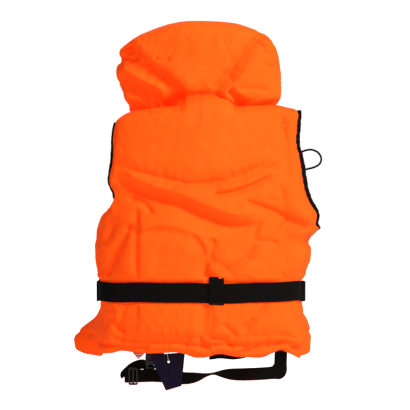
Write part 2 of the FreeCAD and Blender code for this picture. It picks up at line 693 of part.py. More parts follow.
def tag_thread():
    """Clear thread from the hem, through the hole of the card."""
    y, z = TAG_Y, TAG_Z
    path = [(65, 4), (y + 7, z + 16), (y + 3.2, z + 4), (y + 0.4, z), (y - 2.4, z + 4), (y - 1, z + 22), (62, 14)]
    return cord([Vector(TAG_X, a, b) for a, b in path], 0.5)


# ---- collar -------------------------------------------------------------------------------------
COLLAR_AXIS_Y = COLLAR_BACK_Y - COLLAR_R
COLLAR_OUTLINE = wide([
    (70, COLLAR_TOP - 3, 240), (132, 600, 30), (151, 560, 50), (158, 512, 60), (148, COLLAR_HINGE_Z + 3, 12),
])
COLLAR_CENTRE_OUTLINE = wide([(66, 621, 200), (118, 594, 14), (30, 474, 14)])
COLLAR_WING_OUTLINE = [(38, 470, 10), (124, 586, 12), (143, 556, 40), (151, 512, 50), (145, 480, 20), (110, 474, 30)]


def collar_wall(outside, inside):
    return ring_wall((0, COLLAR_AXIS_Y), COLLAR_R - inside, COLLAR_R - outside, 400, COLLAR_TOP + 20)


def collar_floor(lift=0.0):
    """Wedge under the collar that a forward tilt needs free."""
    run = 200.0
    low = COLLAR_HINGE_Z + 2 + lift
    points = [(COLLAR_HINGE_Y + 5, low, 0), (COLLAR_HINGE_Y, low, 0),
              (COLLAR_HINGE_Y - run, low + run * COLLAR_TILT_SLOPE, 0), (COLLAR_HINGE_Y - run, 300, 0),
              (COLLAR_HINGE_Y + 5, 300, 0)]
    side = outline(points, flat_yz)
    side.translate(Vector(-250, 0, 0))
    return side.extrude(Vector(500, 0, 0))


def collar_foam(points, grow=0.0):
    foam = collar_wall(FABRIC - grow, COLLAR_THICK - FABRIC + grow).common(slab_y(points, -200, 200, grow))
    return foam.cut(collar_floor(FABRIC + 1 - grow))


def collar_cover():
    shell = collar_wall(0, COLLAR_THICK).common(slab_y(COLLAR_OUTLINE, -200, 200)).cut(collar_floor())
    wing = collar_foam(COLLAR_WING_OUTLINE, POCKET_GAP)
    centre = collar_foam(COLLAR_CENTRE_OUTLINE, POCKET_GAP)
    return shell.cut(centre).cut(wing).cut(other_side(wing))


def collar_reflective():
    """Retro-reflective patches on the wings, on the side that faces forwards."""
    inner = COLLAR_R - COLLAR_THICK - 0.1
    wall = ring_wall((0, COLLAR_AXIS_Y), inner - TAPE, inner, 400, COLLAR_TOP)
    patch = wall.common(slab_y([(78, 506, 3), (78, 556, 3), (134, 556, 3), (134, 506, 3)], -200, 200))
    return Part.Compound([patch, other_side(patch)])


# ---- everything ---------------------------------------------------------------------------------
def pair(name, shape):
    """The same piece on the wearer's left and mirrored on the right."""
    return {name + "_left": shape, name + "_right": other_side(shape)}


def all_parts():
    belt = belt_buckle()
    crotch = crotch_buckle()
    wing = collar_foam(COLLAR_WING_OUTLINE)
    pad = back_shoulder_pad()
    left_teeth = zip_teeth(TEETH_START + 13.2)
    right_teeth = other_side(zip_teeth(SLIDER_Z - 0.5))
    return {
        "back_cover": back_cover(),
        "yoke_foam": yoke_foam(),
        **pair("back_foam", lower_foam()),
        **pair("side_gusset", side_gusset()),
        "back_shoulder_pads": Part.Compound([pad, other_side(pad)]),
        **pair("back_armhole_binding", back_armhole_binding()),
        "belt_back": belt_back(),
        "belt_back_keeper": belt_back_keeper(),
        "crotch_strap": crotch_strap(),
        "crotch_socket": crotch["socket"],
        "crotch_socket_tab": crotch_socket_tab(crotch),
        "crotch_plug": crotch["plug"],
        "crotch_arm_left": crotch["arm_high"],
        "crotch_arm_right": crotch["arm_low"],
        "crotch_adjuster": crotch_adjuster(),
        "hem_anchor_tab": hem_anchor_tab(),
        "inside_label": inside_label(),
        "care_tab": care_tab(),
        "hang_tag": hang_tag(),
        "tag_thread": tag_thread(),
        "collar_cover": collar_cover(),
        "collar_foam_centre": collar_foam(COLLAR_CENTRE_OUTLINE),
        **pair("collar_foam", wing),
        "collar_reflective_patches": collar_reflective(),
        **pair("front_cover", front_cover()),
        **pair("front_foam", front_foam()),
        **pair("front_side", front_side()),
        **pair("front_shoulder_pad", front_shoulder_pad()),
        **pair("front_armhole_binding", front_armhole_binding()),
        **pair("chest_reflective", chest_reflective()),
        "belt_front_left": belt_front_left(),
        "belt_front_right": belt_front_right(belt["socket"]),
        **pair("belt_loop", belt_loop()),
        "zip_tape_left": zip_tape(TEETH_START),
        "zip_tape_right": other_side(zip_tape(SLIDER_Z - 0.5)),
        "zip_teeth_left": left_teeth,
        "zip_teeth_right": right_teeth,
        "zip_pin": zip_pin(),
        "zip_box": zip_box(),
        "zip_slider": zip_slider(),
        "zip_pull": zip_pull(),
        "belt_socket": belt["socket"],
        "belt_plug": belt["plug"],
        "belt_arm_upper": belt["arm_high"],
        "belt_arm_lower": belt["arm_low"],
        "belt_tail": belt_tail(belt),
        "whistle": whistle(),
        "whistle_lanyard": whistle_lanyard(),
    }


os.makedirs("parts", exist_ok=True)
for part_name, part_shape in all_parts().items():
    solids = part_shape.Solids
    if not solids or not part_shape.isValid():
        raise RuntimeError(f"{part_name} is not a valid solid")
    Part.Compound(solids).exportStep(f"parts/{part_name}.step") if len(solids) > 1 else solids[0].exportStep(
        f"parts/{part_name}.step")
    bounds = part_shape.BoundBox
    print(f"{part_name}: {len(solids)} solid(s), {sum(s.Volume for s in solids) / 1000:.1f} cm3,"
          f" x {bounds.XMin:.1f}..{bounds.XMax:.1f} y {bounds.YMin:.1f}..{bounds.YMax:.1f}"
          f" z {bounds.ZMin:.1f}..{bounds.ZMax:.1f}")
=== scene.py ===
"""Looks of an orange foam life jacket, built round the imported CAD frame.

Lengths in this script are millimetres in the frame's axes (+Z up, the wearer faces -Y, +X is the wearer's
left) until a mesh is made. The padded pieces start as closed shells laid out on the vest's own surface,
are blown up as cloth between their seams, and then get their folds.
"""
import bpy
import math
import numpy as np
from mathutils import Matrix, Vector, geometry
from mathutils.bvhtree import BVHTree


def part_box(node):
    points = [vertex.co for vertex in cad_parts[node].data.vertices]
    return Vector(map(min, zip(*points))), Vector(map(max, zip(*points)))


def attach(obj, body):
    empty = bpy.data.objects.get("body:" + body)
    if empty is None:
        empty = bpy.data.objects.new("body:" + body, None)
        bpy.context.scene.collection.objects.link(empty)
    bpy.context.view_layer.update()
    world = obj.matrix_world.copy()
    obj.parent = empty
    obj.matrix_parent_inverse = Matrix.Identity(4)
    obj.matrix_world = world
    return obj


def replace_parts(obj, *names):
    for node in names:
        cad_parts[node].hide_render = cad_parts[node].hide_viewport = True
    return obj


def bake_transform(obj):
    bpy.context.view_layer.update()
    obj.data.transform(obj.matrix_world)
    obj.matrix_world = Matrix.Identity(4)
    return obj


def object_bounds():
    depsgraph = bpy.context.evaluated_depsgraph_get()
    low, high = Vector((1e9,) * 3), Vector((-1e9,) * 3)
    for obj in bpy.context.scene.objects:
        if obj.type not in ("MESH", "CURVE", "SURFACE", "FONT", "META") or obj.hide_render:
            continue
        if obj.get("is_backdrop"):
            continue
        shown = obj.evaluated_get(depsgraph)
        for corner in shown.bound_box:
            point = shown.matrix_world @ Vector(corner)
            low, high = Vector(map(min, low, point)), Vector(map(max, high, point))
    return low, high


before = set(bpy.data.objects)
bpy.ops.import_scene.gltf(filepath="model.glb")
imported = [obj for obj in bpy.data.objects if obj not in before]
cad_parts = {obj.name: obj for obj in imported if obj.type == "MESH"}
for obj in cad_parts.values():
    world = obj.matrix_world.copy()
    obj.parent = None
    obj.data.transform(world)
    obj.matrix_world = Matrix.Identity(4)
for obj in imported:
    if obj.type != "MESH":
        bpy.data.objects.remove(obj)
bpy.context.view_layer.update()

MM = 0.001
SIDES = {1: "left", -1: "right"}      # the sign of x on each of the wearer's sides


# ---- small helpers ------------------------------------------------------------------------------
def node_box(name):
    low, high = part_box(name)
    return np.array(low) / MM, np.array(high) / MM


def smooth(value):
    value = np.clip(value, 0.0, 1.0)
    return value * value * (3 - 2 * value)


def run_along(line):
    """Length along a line at each of its points."""
    return np.concatenate([[0], np.cumsum(np.linalg.norm(np.diff(line, axis=0), axis=1))])


def bezier(p0, p1, p2, p3, count):
    """Points on the curve that leaves p0 toward p1 and reaches p3 from p2."""
    return [(1 - t) ** 3 * p0 + 3 * (1 - t) ** 2 * t * p1 + 3 * (1 - t) * t * t * p2 + t ** 3 * p3
            for t in np.linspace(0, 1, count)]


def through(points, step, closed=False):
    """Evenly spaced points on a smooth curve through the given points."""
    points = np.array(points, float)
    if closed:
        padded = np.vstack([points[-1], points, points[:2]])
    else:
        padded = np.vstack([2 * points[0] - points[1], points, 2 * points[-1] - points[-2]])
    dense = []
    for p0, p1, p2, p3 in zip(padded, padded[1:], padded[2:], padded[3:]):
        for t in np.linspace(0, 1, 24, endpoint=False):
            dense.append(0.5 * (2 * p1 + (p2 - p0) * t + (2 * p0 - 5 * p1 + 4 * p2 - p3) * t ** 2
                                + (3 * p1 - p0 - 3 * p2 + p3) * t ** 3))
    dense.append(points[0] if closed else points[-1])
    dense = np.array(dense)
    run = run_along(dense)
    count = max(2, int(round(run[-1] / step)) + 1)
    stops = np.linspace(0, run[-1], count)
    if closed:
        stops = stops[:-1]
    return np.stack([np.interp(stops, run, dense[:, i]) for i in range(dense.shape[1])], axis=1)


def to_line(points, line, closed=False):
    """Signed distance to a line in the plane (positive on its left) and the share of its length."""
    line = np.array(line, float)
    if closed:
        line = np.vstack([line, line[:1]])
    steps = np.diff(line, axis=0)
    lengths = np.linalg.norm(steps, axis=1)
    start = np.concatenate([[0], np.cumsum(lengths)])
    best = np.full(len(points), 1e9)
    sign = np.zeros(len(points))
    share = np.zeros(len(points))
    for a, d, length, run in zip(line[:-1], steps, lengths, start):
        if length < 1e-9:
            continue
        rel = points - a
        t = np.clip((rel @ d) / length ** 2, 0, 1)
        gap = rel - t[:, None] * d
        dist = np.hypot(gap[:, 0], gap[:, 1])
        near = dist < best
        best = np.where(near, dist, best)
        sign = np.where(near, np.sign(d[0] * rel[:, 1] - d[1] * rel[:, 0]), sign)
        share = np.where(near, (run + t * length) / start[-1], share)
    return best * np.where(sign == 0, 1, sign), share


def is_inside(points, polygon):
    x, y = points[:, 0], points[:, 1]
    found = np.zeros(len(points), bool)
    for (x0, y0), (x1, y1) in zip(polygon, np.roll(polygon, -1, axis=0)):
        if y0 == y1:
            continue
        crosses = ((y0 > y) != (y1 > y)) & (x < (x1 - x0) * (y - y0) / (y1 - y0) + x0)
        found ^= crosses
    return found


def depth_inside(points, polygon):
    """Distance from the edge of a closed outline, negative outside."""
    dist = np.abs(to_line(points, polygon, closed=True)[0])
    return np.where(is_inside(points, polygon), dist, -dist)


FOLD_GAIN = 1.7
FOLD_WIDTH = 0.74
SHELF_GAIN = 1.8
LINE_STEP = 6.0


def taper(share, fade):
    """Full along a line and gone at both of its ends."""
    return smooth(share / fade) * smooth((1 - share) / fade)


def fold(points, line, depth, left=8.0, right=8.0, fade=0.18):
    """Height of a crease along a line: -depth on it, over its own width on each side, gone at its ends."""
    dist, share = to_line(points, through(line, LINE_STEP))
    width = np.where(dist > 0, left, right) * FOLD_WIDTH
    return -FOLD_GAIN * depth * np.exp(-(np.abs(dist) / width) ** 1.3) * taper(share, fade)


def folds(points, table):
    """All creases of a table whose rows hold fold's own values: line, depth, left, right and fade."""
    return sum(fold(points, *row) for row in table)


def pillow(points, polygon, rise, width):
    """Area that stands proud with a rounded edge, as a padded panel does beside its seams."""
    depth = np.clip(depth_inside(points, np.array(polygon, float)) / width, 0, 1)
    return rise * np.sqrt(1 - (1 - depth) ** 2)


def ripples(points, pitch, seed, stretch=(1.0, 1.0), waves=14):
    """Soft random unevenness between about -1 and 1, with a typical wave length."""
    own = np.random.default_rng(seed)
    total = np.zeros(len(points))
    for _ in range(waves):
        angle = own.uniform(0, math.tau)
        k = math.tau / (pitch * own.uniform(0.7, 1.6))
        phase = own.uniform(0, math.tau)
        total += np.sin(k * (points[:, 0] * math.cos(angle) * stretch[0]
                             + points[:, 1] * math.sin(angle) * stretch[1]) + phase)
    return total / math.sqrt(waves)


# ---- meshes -------------------------------------------------------------------------------------
def new_object(name, verts, faces, uv=None, mat=None):
    """Object from vertices in millimetres. uv holds one pair per vertex."""
    mesh = bpy.data.meshes.new(name)
    mesh.from_pydata((np.array(verts) * MM).tolist(), [], [list(map(int, f)) for f in faces])
    if uv is not None:
        layer = mesh.uv_layers.new(name="cloth")
        loops = np.zeros(len(mesh.loops), int)
        mesh.loops.foreach_get("vertex_index", loops)
        layer.data.foreach_set("uv", (np.array(uv)[loops] * MM).ravel())
    mesh.polygons.foreach_set("use_smooth", [True] * len(mesh.polygons))
    mesh.update()
    obj = bpy.data.objects.new(name, mesh)
    bpy.context.scene.collection.objects.link(obj)
    if mat is not None:
        mesh.materials.append(mat)
    return obj


def edges_of(tris):
    pairs = np.sort(np.vstack([tris[:, [0, 1]], tris[:, [1, 2]], tris[:, [2, 0]]]), axis=1)
    return np.unique(pairs, axis=0, return_inverse=True)


def relax(verts, tris, turns, share=0.5):
    """Evens out a mesh a little."""
    pairs, _ = edges_of(tris)
    count = np.bincount(pairs.ravel(), minlength=len(verts))[:, None]
    for _ in range(turns):
        total = np.zeros_like(verts)
        np.add.at(total, pairs[:, 0], verts[pairs[:, 1]])
        np.add.at(total, pairs[:, 1], verts[pairs[:, 0]])
        verts = verts + share * (total / count - verts)
    return verts


def refine(verts, tris, extra):
    """Splits every triangle into four. extra is carried along, one row per vertex."""
    pairs, back = edges_of(tris)
    back = back.reshape(3, -1)
    mid = back + len(verts)
    a, b, c = tris.T
    ab, bc, ca = mid
    tris = np.vstack([np.stack(t, axis=1) for t in ((a, ab, ca), (ab, b, bc), (ca, bc, c), (ab, bc, ca))])
    verts = np.vstack([verts, verts[pairs].mean(axis=1)])
    extra = np.vstack([extra, extra[pairs].mean(axis=1)])
    return verts, tris, extra


def triangles_in(polygon, step):
    """Even triangles that fill an outline, as plane points, triangles and the number of edge points."""
    low, high = polygon.min(axis=0), polygon.max(axis=0)
    rows = []
    for i, b in enumerate(np.arange(low[1], high[1] + step, step * 0.866)):
        row = np.arange(low[0] - (i % 2) * step / 2, high[0] + step, step)
        rows.append(np.stack([row, np.full(len(row), b)], axis=1))
    grid = np.vstack(rows)
    grid = grid[depth_inside(grid, polygon) > step * 0.55]
    count = len(polygon)
    points = np.vstack([polygon, grid])
    ring = [(i, (i + 1) % count) for i in range(count)]
    _, _, faces, origin, _, _ = geometry.delaunay_2d_cdt([Vector(p) for p in points], ring, [], 1, 1e-5)
    order = [o[0] for o in origin]
    tris = np.array([[order[i] for i in f] for f in faces])
    flat = points[tris]
    turn = np.cross(flat[:, 1] - flat[:, 0], flat[:, 2] - flat[:, 0])
    tris[turn < 0] = tris[turn < 0][:, ::-1]
    return points, tris, count


def closed_shell(polygon, step, place):
    """Closed triangle mesh with an outer and an inner side that share the outline's edge.

    place(points, side) gives positions; side is 1 outside, -1 inside and 0 on the edge.
    Returns vertices, triangles and one row per vertex of (a, b, side).
    """
    points, tris, rim = triangles_in(polygon, step)
    count = len(points)
    inner = np.arange(count)
    inner[rim:] += count - rim
    verts = np.vstack([place(points[:rim], 0), place(points[rim:], 1), place(points[rim:], -1)])
    data = np.vstack([np.column_stack([points[:rim], np.zeros(rim)]),
                      np.column_stack([points[rim:], np.ones(count - rim)]),
                      np.column_stack([points[rim:], -np.ones(count - rim)])])
    tris = np.vstack([tris, inner[tris][:, ::-1]])
    return verts, tris, data


CLOTH_STIFFNESS = 12.0


def inflate(verts, tris, pinned, pressure, cap, growth=0.015, frames=18):
    """Blows a closed mesh up as cloth, with some points held, and limits how far a point may move."""
    obj = new_object("cloth_run", verts, tris)
    group = obj.vertex_groups.new(name="held")
    for i, weight in enumerate(pinned):
        if weight > 0.01:
            group.add([i], float(weight), "REPLACE")
    cloth = obj.modifiers.new("cloth", "CLOTH")
    cloth.settings.quality = 4
    cloth.settings.mass = 0.25
    cloth.settings.tension_stiffness = CLOTH_STIFFNESS
    cloth.settings.compression_stiffness = CLOTH_STIFFNESS
    cloth.settings.shear_stiffness = CLOTH_STIFFNESS * 0.4
    cloth.settings.bending_stiffness = 0.4
    cloth.settings.vertex_group_mass = "held"
    cloth.settings.shrink_min = -growth
    cloth.settings.use_pressure = True
    cloth.settings.uniform_pressure_force = pressure
    cloth.settings.effector_weights.gravity = 0
    cloth.collision_settings.use_collision = False
    cloth.point_cache.frame_end = frames
    scene = bpy.context.scene
    for number in range(1, frames + 1):
        scene.frame_set(number)
    graph = bpy.context.evaluated_depsgraph_get()
    result = obj.evaluated_get(graph).data
    moved = np.zeros(len(verts) * 3)
    result.vertices.foreach_get("co", moved)
    moved = moved.reshape(-1, 3) / MM - verts
    bpy.data.objects.remove(obj)
    scene.frame_set(1)
    length = np.linalg.norm(moved, axis=1)[:, None]
    soft = cap * np.tanh(length / cap)
    return verts + moved * soft / np.maximum(length, 1e-9)


# ---- the vest's own surface: s runs round the ring from the centre of the back, z runs up --------
BACK_R = 430.0
BACK_Y = 105.0
SIDE_X = 198.0
SIDE_Y = -9.0
SIDE_START = 160.0       # the arc of the back turns into the side here


def ring_table():
    angle = math.asin(SIDE_START / BACK_R)
    arc = [(BACK_R * math.sin(a), BACK_Y - BACK_R + BACK_R * math.cos(a)) for a in np.linspace(0, angle, 60)]
    p0 = np.array(arc[-1])
    p1 = p0 + 36 * np.array([math.cos(angle), -math.sin(angle)])
    p2 = np.array([SIDE_X, SIDE_Y + 37])
    p3 = np.array([SIDE_X, SIDE_Y])
    line = np.vstack([arc, bezier(p0, p1, p2, p3, 60)[1:], [[SIDE_X, SIDE_Y - 40]]])
    return line, run_along(line)


RING, RING_RUN = ring_table()
RING_END = float(RING_RUN[-2])


def ring_run(x):
    """Run round the ring at which it reaches x."""
    return np.interp(abs(x), RING[:, 0], RING_RUN) * np.sign(x)


# ---- materials ----------------------------------------------------------------------------------
def shader(name, colour, rough=0.6, **inputs):
    """Material with a principled shader. Further inputs are named with _ for each space."""
    mat = bpy.data.materials.new(name)
    mat.use_nodes = True
    bsdf = mat.node_tree.nodes["Principled BSDF"]
    bsdf.inputs["Base Color"].default_value = (*colour, 1)
    bsdf.inputs["Roughness"].default_value = rough
    for key, value in inputs.items():
        bsdf.inputs[key.replace("_", " ")].default_value = value
    return mat


def node(mat, kind, **inputs):
    made = mat.node_tree.nodes.new(kind)
    for key, value in inputs.items():
        made.inputs[key].default_value = value
    return made


def join(mat, out, into):
    mat.node_tree.links.new(out, into)


def coords(mat, which):
    """The mesh's cloth layout in metres, or the object's own coordinates."""
    return node(mat, "ShaderNodeTexCoord").outputs[which]


def waves(mat, pitch, direction, source, bend=0.0):
    """Even bands with the given pitch in millimetres."""
    made = node(mat, "ShaderNodeTexWave", Scale=math.tau / (20 * pitch * MM), Distortion=bend)
    made.bands_direction = direction
    join(mat, source, made.inputs["Vector"])
    return made.outputs["Fac"]


def noise(mat, scale, source, detail=2.0):
    made = node(mat, "ShaderNodeTexNoise", Scale=scale, Detail=detail)
    join(mat, source, made.inputs["Vector"])
    return made.outputs["Fac"]


def combine(mat, kind, a, b):
    made = node(mat, "ShaderNodeMath")
    made.operation = kind
    for value, socket in ((a, made.inputs[0]), (b, made.inputs[1])):
        if isinstance(value, (int, float)):
            socket.default_value = value
        else:
            join(mat, value, socket)
    return made.outputs[0]


def add_bump(mat, height, depth, strength=1.0):
    """Bump with its depth in millimetres, on top of any bump already there."""
    bsdf = mat.node_tree.nodes["Principled BSDF"]
    bump = node(mat, "ShaderNodeBump", Strength=strength, Distance=depth * MM)
    join(mat, height, bump.inputs["Height"])
    if bsdf.inputs["Normal"].links:
        join(mat, bsdf.inputs["Normal"].links[0].from_socket, bump.inputs["Normal"])
    join(mat, bump.outputs["Normal"], bsdf.inputs["Normal"])


def vary(mat, factor, dark, light, low=0.3, high=0.7):
    """Colour that runs from dark to light with a factor."""
    ramp = node(mat, "ShaderNodeValToRGB")
    ramp.color_ramp.elements[0].position = low
    ramp.color_ramp.elements[0].color = (*dark, 1)
    ramp.color_ramp.elements[1].position = high
    ramp.color_ramp.elements[1].color = (*light, 1)
    join(mat, factor, ramp.inputs["Fac"])
    join(mat, ramp.outputs["Color"], mat.node_tree.nodes["Principled BSDF"].inputs["Base Color"])


def cover_cloth_painted_glow():
    # The emission is a painted glow: the cloth lights itself in red, so its shade and the shadows in its
    # folds stay bright red.
    mat = shader("cover_cloth_painted_glow", (0.9, 0.12, 0.010), 0.7, Specular_IOR_Level=0.04,
                 Emission_Color=(1.0, 0.03, 0.001, 1), Emission_Strength=0.40)
    place = coords(mat, "Object")
    layout = coords(mat, "UV")
    weave = combine(mat, "MULTIPLY", waves(mat, 1.1, "X", layout), waves(mat, 1.1, "Y", layout))
    vary(mat, noise(mat, 9, place, 3), (0.86, 0.100, 0.006), (0.95, 0.120, 0.008))
    add_bump(mat, weave, 0.22, 0.5)
    add_bump(mat, noise(mat, 140, place, 4), 0.9, 0.35)
    add_bump(mat, noise(mat, 38, place, 3), 2.2, 0.3)
    return mat


def webbing_cloth():
    mat = shader("webbing_cloth", (0.004, 0.004, 0.004), 0.85, Specular_IOR_Level=0.06)
    layout = coords(mat, "UV")
    ribs = waves(mat, 1.5, "X", layout, 0.6)
    rows = waves(mat, 2.6, "Y", layout, 0.4)
    vary(mat, noise(mat, 300, coords(mat, "Object"), 2), (0.0025, 0.0022, 0.0022), (0.0055, 0.005, 0.0045))
    add_bump(mat, combine(mat, "ADD", ribs, combine(mat, "MULTIPLY", rows, 0.6)), 0.35, 0.8)
    return mat


def binding_cloth():
    mat = shader("binding_cloth", (0.004, 0.003, 0.003), 0.8, Specular_IOR_Level=0.08)
    layout = coords(mat, "UV")
    add_bump(mat, waves(mat, 0.9, "X", layout, 1.0), 0.25, 0.7)
    add_bump(mat, noise(mat, 120, coords(mat, "Object"), 3), 0.7, 0.5)
    return mat


def tape_cloth():
    mat = shader("tape_cloth", (0.007, 0.007, 0.007), 0.8, Specular_IOR_Level=0.1)
    layout = coords(mat, "UV")
    add_bump(mat, combine(mat, "MULTIPLY", waves(mat, 1.0, "X", layout), waves(mat, 0.8, "Y", layout)), 0.2)
    return mat


def moulded(name, colour, rough):
    """Injection-moulded plastic with a fine texture and slightly uneven gloss."""
    mat = shader(name, colour, rough, Specular_IOR_Level=0.3)
    place = coords(mat, "Object")
    bsdf = mat.node_tree.nodes["Principled BSDF"]
    uneven = combine(mat, "ADD", combine(mat, "MULTIPLY", noise(mat, 60, place, 3), 0.2), rough - 0.1)
    join(mat, uneven, bsdf.inputs["Roughness"])
    add_bump(mat, noise(mat, 1800, place, 2), 0.08, 0.5)
    return mat


def metal():
    mat = shader("zip_metal_finish", (0.35, 0.34, 0.33), 0.3, Metallic=1.0)
    add_bump(mat, noise(mat, 900, coords(mat, "Object"), 3), 0.05, 0.4)
    return mat


def reflective_tape():
    """Silver tape with a fine diamond grid."""
    mat = shader("reflective_tape", (0.62, 0.64, 0.66), 0.35, Metallic=0.35)
    layout = coords(mat, "UV")
    turned = node(mat, "ShaderNodeMapping")
    turned.inputs["Rotation"].default_value = (0, 0, math.radians(45))
    join(mat, layout, turned.inputs["Vector"])
    grid = combine(mat, "MULTIPLY", waves(mat, 4.0, "X", turned.outputs[0]),
                   waves(mat, 4.0, "Y", turned.outputs[0]))
    vary(mat, grid, (0.50, 0.52, 0.54), (0.74, 0.76, 0.78), 0.05, 0.4)
    add_bump(mat, grid, 0.15, 0.6)
    return mat


def satin(name, colour, other, pitch, share):
    """Woven label cloth with plain printed lines in another colour."""
    mat = shader(name, colour, 0.55, Sheen_Weight=0.15)
    place = coords(mat, "Object")
    add_bump(mat, noise(mat, 900, place, 2), 0.1, 0.6)
    step = combine(mat, "GREATER_THAN", waves(mat, pitch, "Z", place), share)
    mix = node(mat, "ShaderNodeMix")
    mix.data_type = "RGBA"
    # a mix node has a set of sockets for each kind of data: these are the ones for colours
    factor, first, second, result = mix.inputs[0], mix.inputs[6], mix.inputs[7], mix.outputs[2]
    first.default_value = (*colour, 1)
    second.default_value = (*other, 1)
    join(mat, step, factor)
    join(mat, result, mat.node_tree.nodes["Principled BSDF"].inputs["Base Color"])
    return mat


def card(name, colour):
    mat = shader(name, colour, 0.55, Specular_IOR_Level=0.12)
    place = coords(mat, "Object")
    vary(mat, noise(mat, 40, place, 3), tuple(c * 0.8 for c in colour), tuple(c * 1.2 for c in colour))
    add_bump(mat, noise(mat, 700, place, 3), 0.06, 0.5)
    return mat


CLOTH = cover_cloth_painted_glow()
WEBBING = webbing_cloth()
BINDING = binding_cloth()
TAPE = tape_cloth()
PLASTIC = moulded("buckle_plastic_finish", (0.008, 0.008, 0.009), 0.42)
TOOTH = moulded("zip_plastic_finish", (0.02, 0.02, 0.021), 0.42)
METAL = metal()
SILVER = reflective_tape()
LABEL = satin("label_cloth", (0.72, 0.71, 0.68), (0.25, 0.25, 0.25), 7.0, 0.86)
CARE = satin("care_cloth", (0.55, 0.03, 0.03), (0.75, 0.74, 0.72), 5.0, 0.8)
NAVY = card("tag_card_finish", (0.004, 0.003, 0.022))
THREAD = shader("thread_finish", (0.78, 0.77, 0.74), 0.3, Transmission_Weight=0.3)
SEWING = shader("sewing_thread", (0.75, 0.10, 0.012), 0.5, Sheen_Weight=0.3)
DARK_SEWING = shader("dark_sewing_thread", (0.02, 0.018, 0.018), 0.5)
CORD = binding_cloth()
WHISTLE = moulded("whistle_finish", (0.75, 0.10, 0.012), 0.35)


# ---- sweeps, stitches and patches ---------------------------------------------------------------
def unit(vectors):
    return vectors / np.maximum(np.linalg.norm(vectors, axis=1), 1e-9)[:, None]


def sweep(name, centres, across, width, thick, mat, power, sides):
    """Band or cord along a line. across is the direction of its width, at each point or once for all.

    power is 2 for a round section and more for a flatter one.
    """
    centres = np.array(centres, float)
    count = len(centres)
    across = np.broadcast_to(np.array(across, float), centres.shape)
    width = np.broadcast_to(np.array(width, float), (count,))
    thick = np.broadcast_to(np.array(thick, float), (count,))
    ahead = unit(np.gradient(centres, axis=0))
    across = unit(across - (across * ahead).sum(axis=1)[:, None] * ahead)
    normal = np.cross(ahead, across)
    turn = np.linspace(0, math.tau, sides, endpoint=False)
    u = np.sign(np.cos(turn)) * np.abs(np.cos(turn)) ** (2 / power) / 2
    v = np.sign(np.sin(turn)) * np.abs(np.sin(turn)) ** (2 / power) / 2
    verts = (centres[:, None, :] + across[:, None, :] * (u[None, :, None] * width[:, None, None])
             + normal[:, None, :] * (v[None, :, None] * thick[:, None, None]))
    run = run_along(centres)
    uv = np.stack([np.repeat(run[:, None], sides, axis=1), u[None, :] * width[:, None]
                   + 0.3 * v[None, :] * thick[:, None]], axis=2)
    faces = []
    for i in range(count - 1):
        a, b = i * sides, (i + 1) * sides
        for j in range(sides):
            k = (j + 1) % sides
            faces.append((a + j, a + k, b + k, b + j))
    faces.append(tuple(range(sides))[::-1])
    faces.append(tuple(range((count - 1) * sides, count * sides)))
    return new_object(name, verts.reshape(-1, 3), faces, uv.reshape(-1, 2), mat)


def joined(name, parts):
    """One object from several."""
    bpy.ops.object.select_all(action="DESELECT")
    for part in parts:
        part.select_set(True)
    bpy.context.view_layer.objects.active = parts[0]
    bpy.ops.object.join()
    parts[0].name = name
    return parts[0]


def rider(obj, body, slot_name, *nodes):
    """Puts a finished piece on its body and hides the CAD nodes it stands for. slot_name, the name of its
    finish, is not used.
    """
    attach(obj, body)
    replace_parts(obj, *nodes)
    return obj


def surface_tree(obj):
    """Search tree of an object's mesh, in millimetres."""
    mesh = obj.data
    verts = np.zeros(len(mesh.vertices) * 3)
    mesh.vertices.foreach_get("co", verts)
    verts = (verts / MM).reshape(-1, 3)
    return BVHTree.FromPolygons(verts.tolist(), [tuple(p.vertices) for p in mesh.polygons])


RAY_BACK = 80.0          # a ray toward a surface starts this far behind its point
RAY_LENGTH = 260.0


def seat(tree, points, lift, toward=None):
    """Points moved on to a surface, nearest or along a direction, and the surface's own directions."""
    seated = []
    normals = []
    for point in points:
        hit = None
        if toward is not None:
            start = Vector(point) - Vector(toward) * RAY_BACK
            hit = tree.ray_cast(start, Vector(toward), RAY_LENGTH)
        if hit is None or hit[0] is None:
            hit = tree.find_nearest(Vector(point))
        place, normal = hit[0], hit[1]
        if toward is not None and normal.dot(Vector(toward)) > 0:
            normal = -normal
        seated.append(place + normal * lift)
        normals.append(normal)
    return np.array(seated), np.array(normals)


def stitch_row(name, points, normals, mat, length=3.0, pitch=4.4, radius=0.38):
    """Row of single stitches, each a small arched thread, along a line on a surface."""
    points = np.array(points, float)
    run = run_along(points)
    starts = np.arange(0, max(run[-1] - length, length), pitch)
    sides = 5
    stations = np.linspace(0, 1, 5)
    verts = []
    faces = []
    turn = np.linspace(0, math.tau, sides, endpoint=False)
    for begin in starts:
        stops = begin + stations * length
        line = np.stack([np.interp(stops, run, points[:, i]) for i in range(3)], axis=1)
        up = unit(np.stack([np.interp(stops, run, normals[:, i]) for i in range(3)], axis=1))
        ahead = unit(np.gradient(line, axis=0))
        side = np.cross(ahead, up)
        arch = np.sin(stations * math.pi)
        base = len(verts)
        for centre, u, s, a in zip(line, up, side, arch):
            r = radius * (0.35 + 0.65 * a)
            for angle in turn:
                verts.append(centre + u * (0.45 * a * radius + r * math.sin(angle)) + s * r * math.cos(angle))
        for i in range(len(stations) - 1):
            for j in range(sides):
                k = (j + 1) % sides
                faces.append((base + i * sides + j, base + i * sides + k,
                              base + (i + 1) * sides + k, base + (i + 1) * sides + j))
        faces.append(tuple(base + j for j in range(sides))[::-1])
        faces.append(tuple(base + (len(stations) - 1) * sides + j for j in range(sides)))
    return new_object(name, verts, faces, np.array(verts)[:, :2], mat)


def webbing(name, line, across, width, thick, sides=28):
    """Flat woven band with rounded edges."""
    return sweep(name, line, across, width, thick, WEBBING, 9.0, sides)


def dark_row(name, line, facing, length=2.6, pitch=3.4, radius=0.35):
    """Row of dark stitches on a surface that faces one way."""
    return stitch_row(name, line, np.tile(facing, (len(line), 1)), DARK_SEWING, length, pitch, radius)


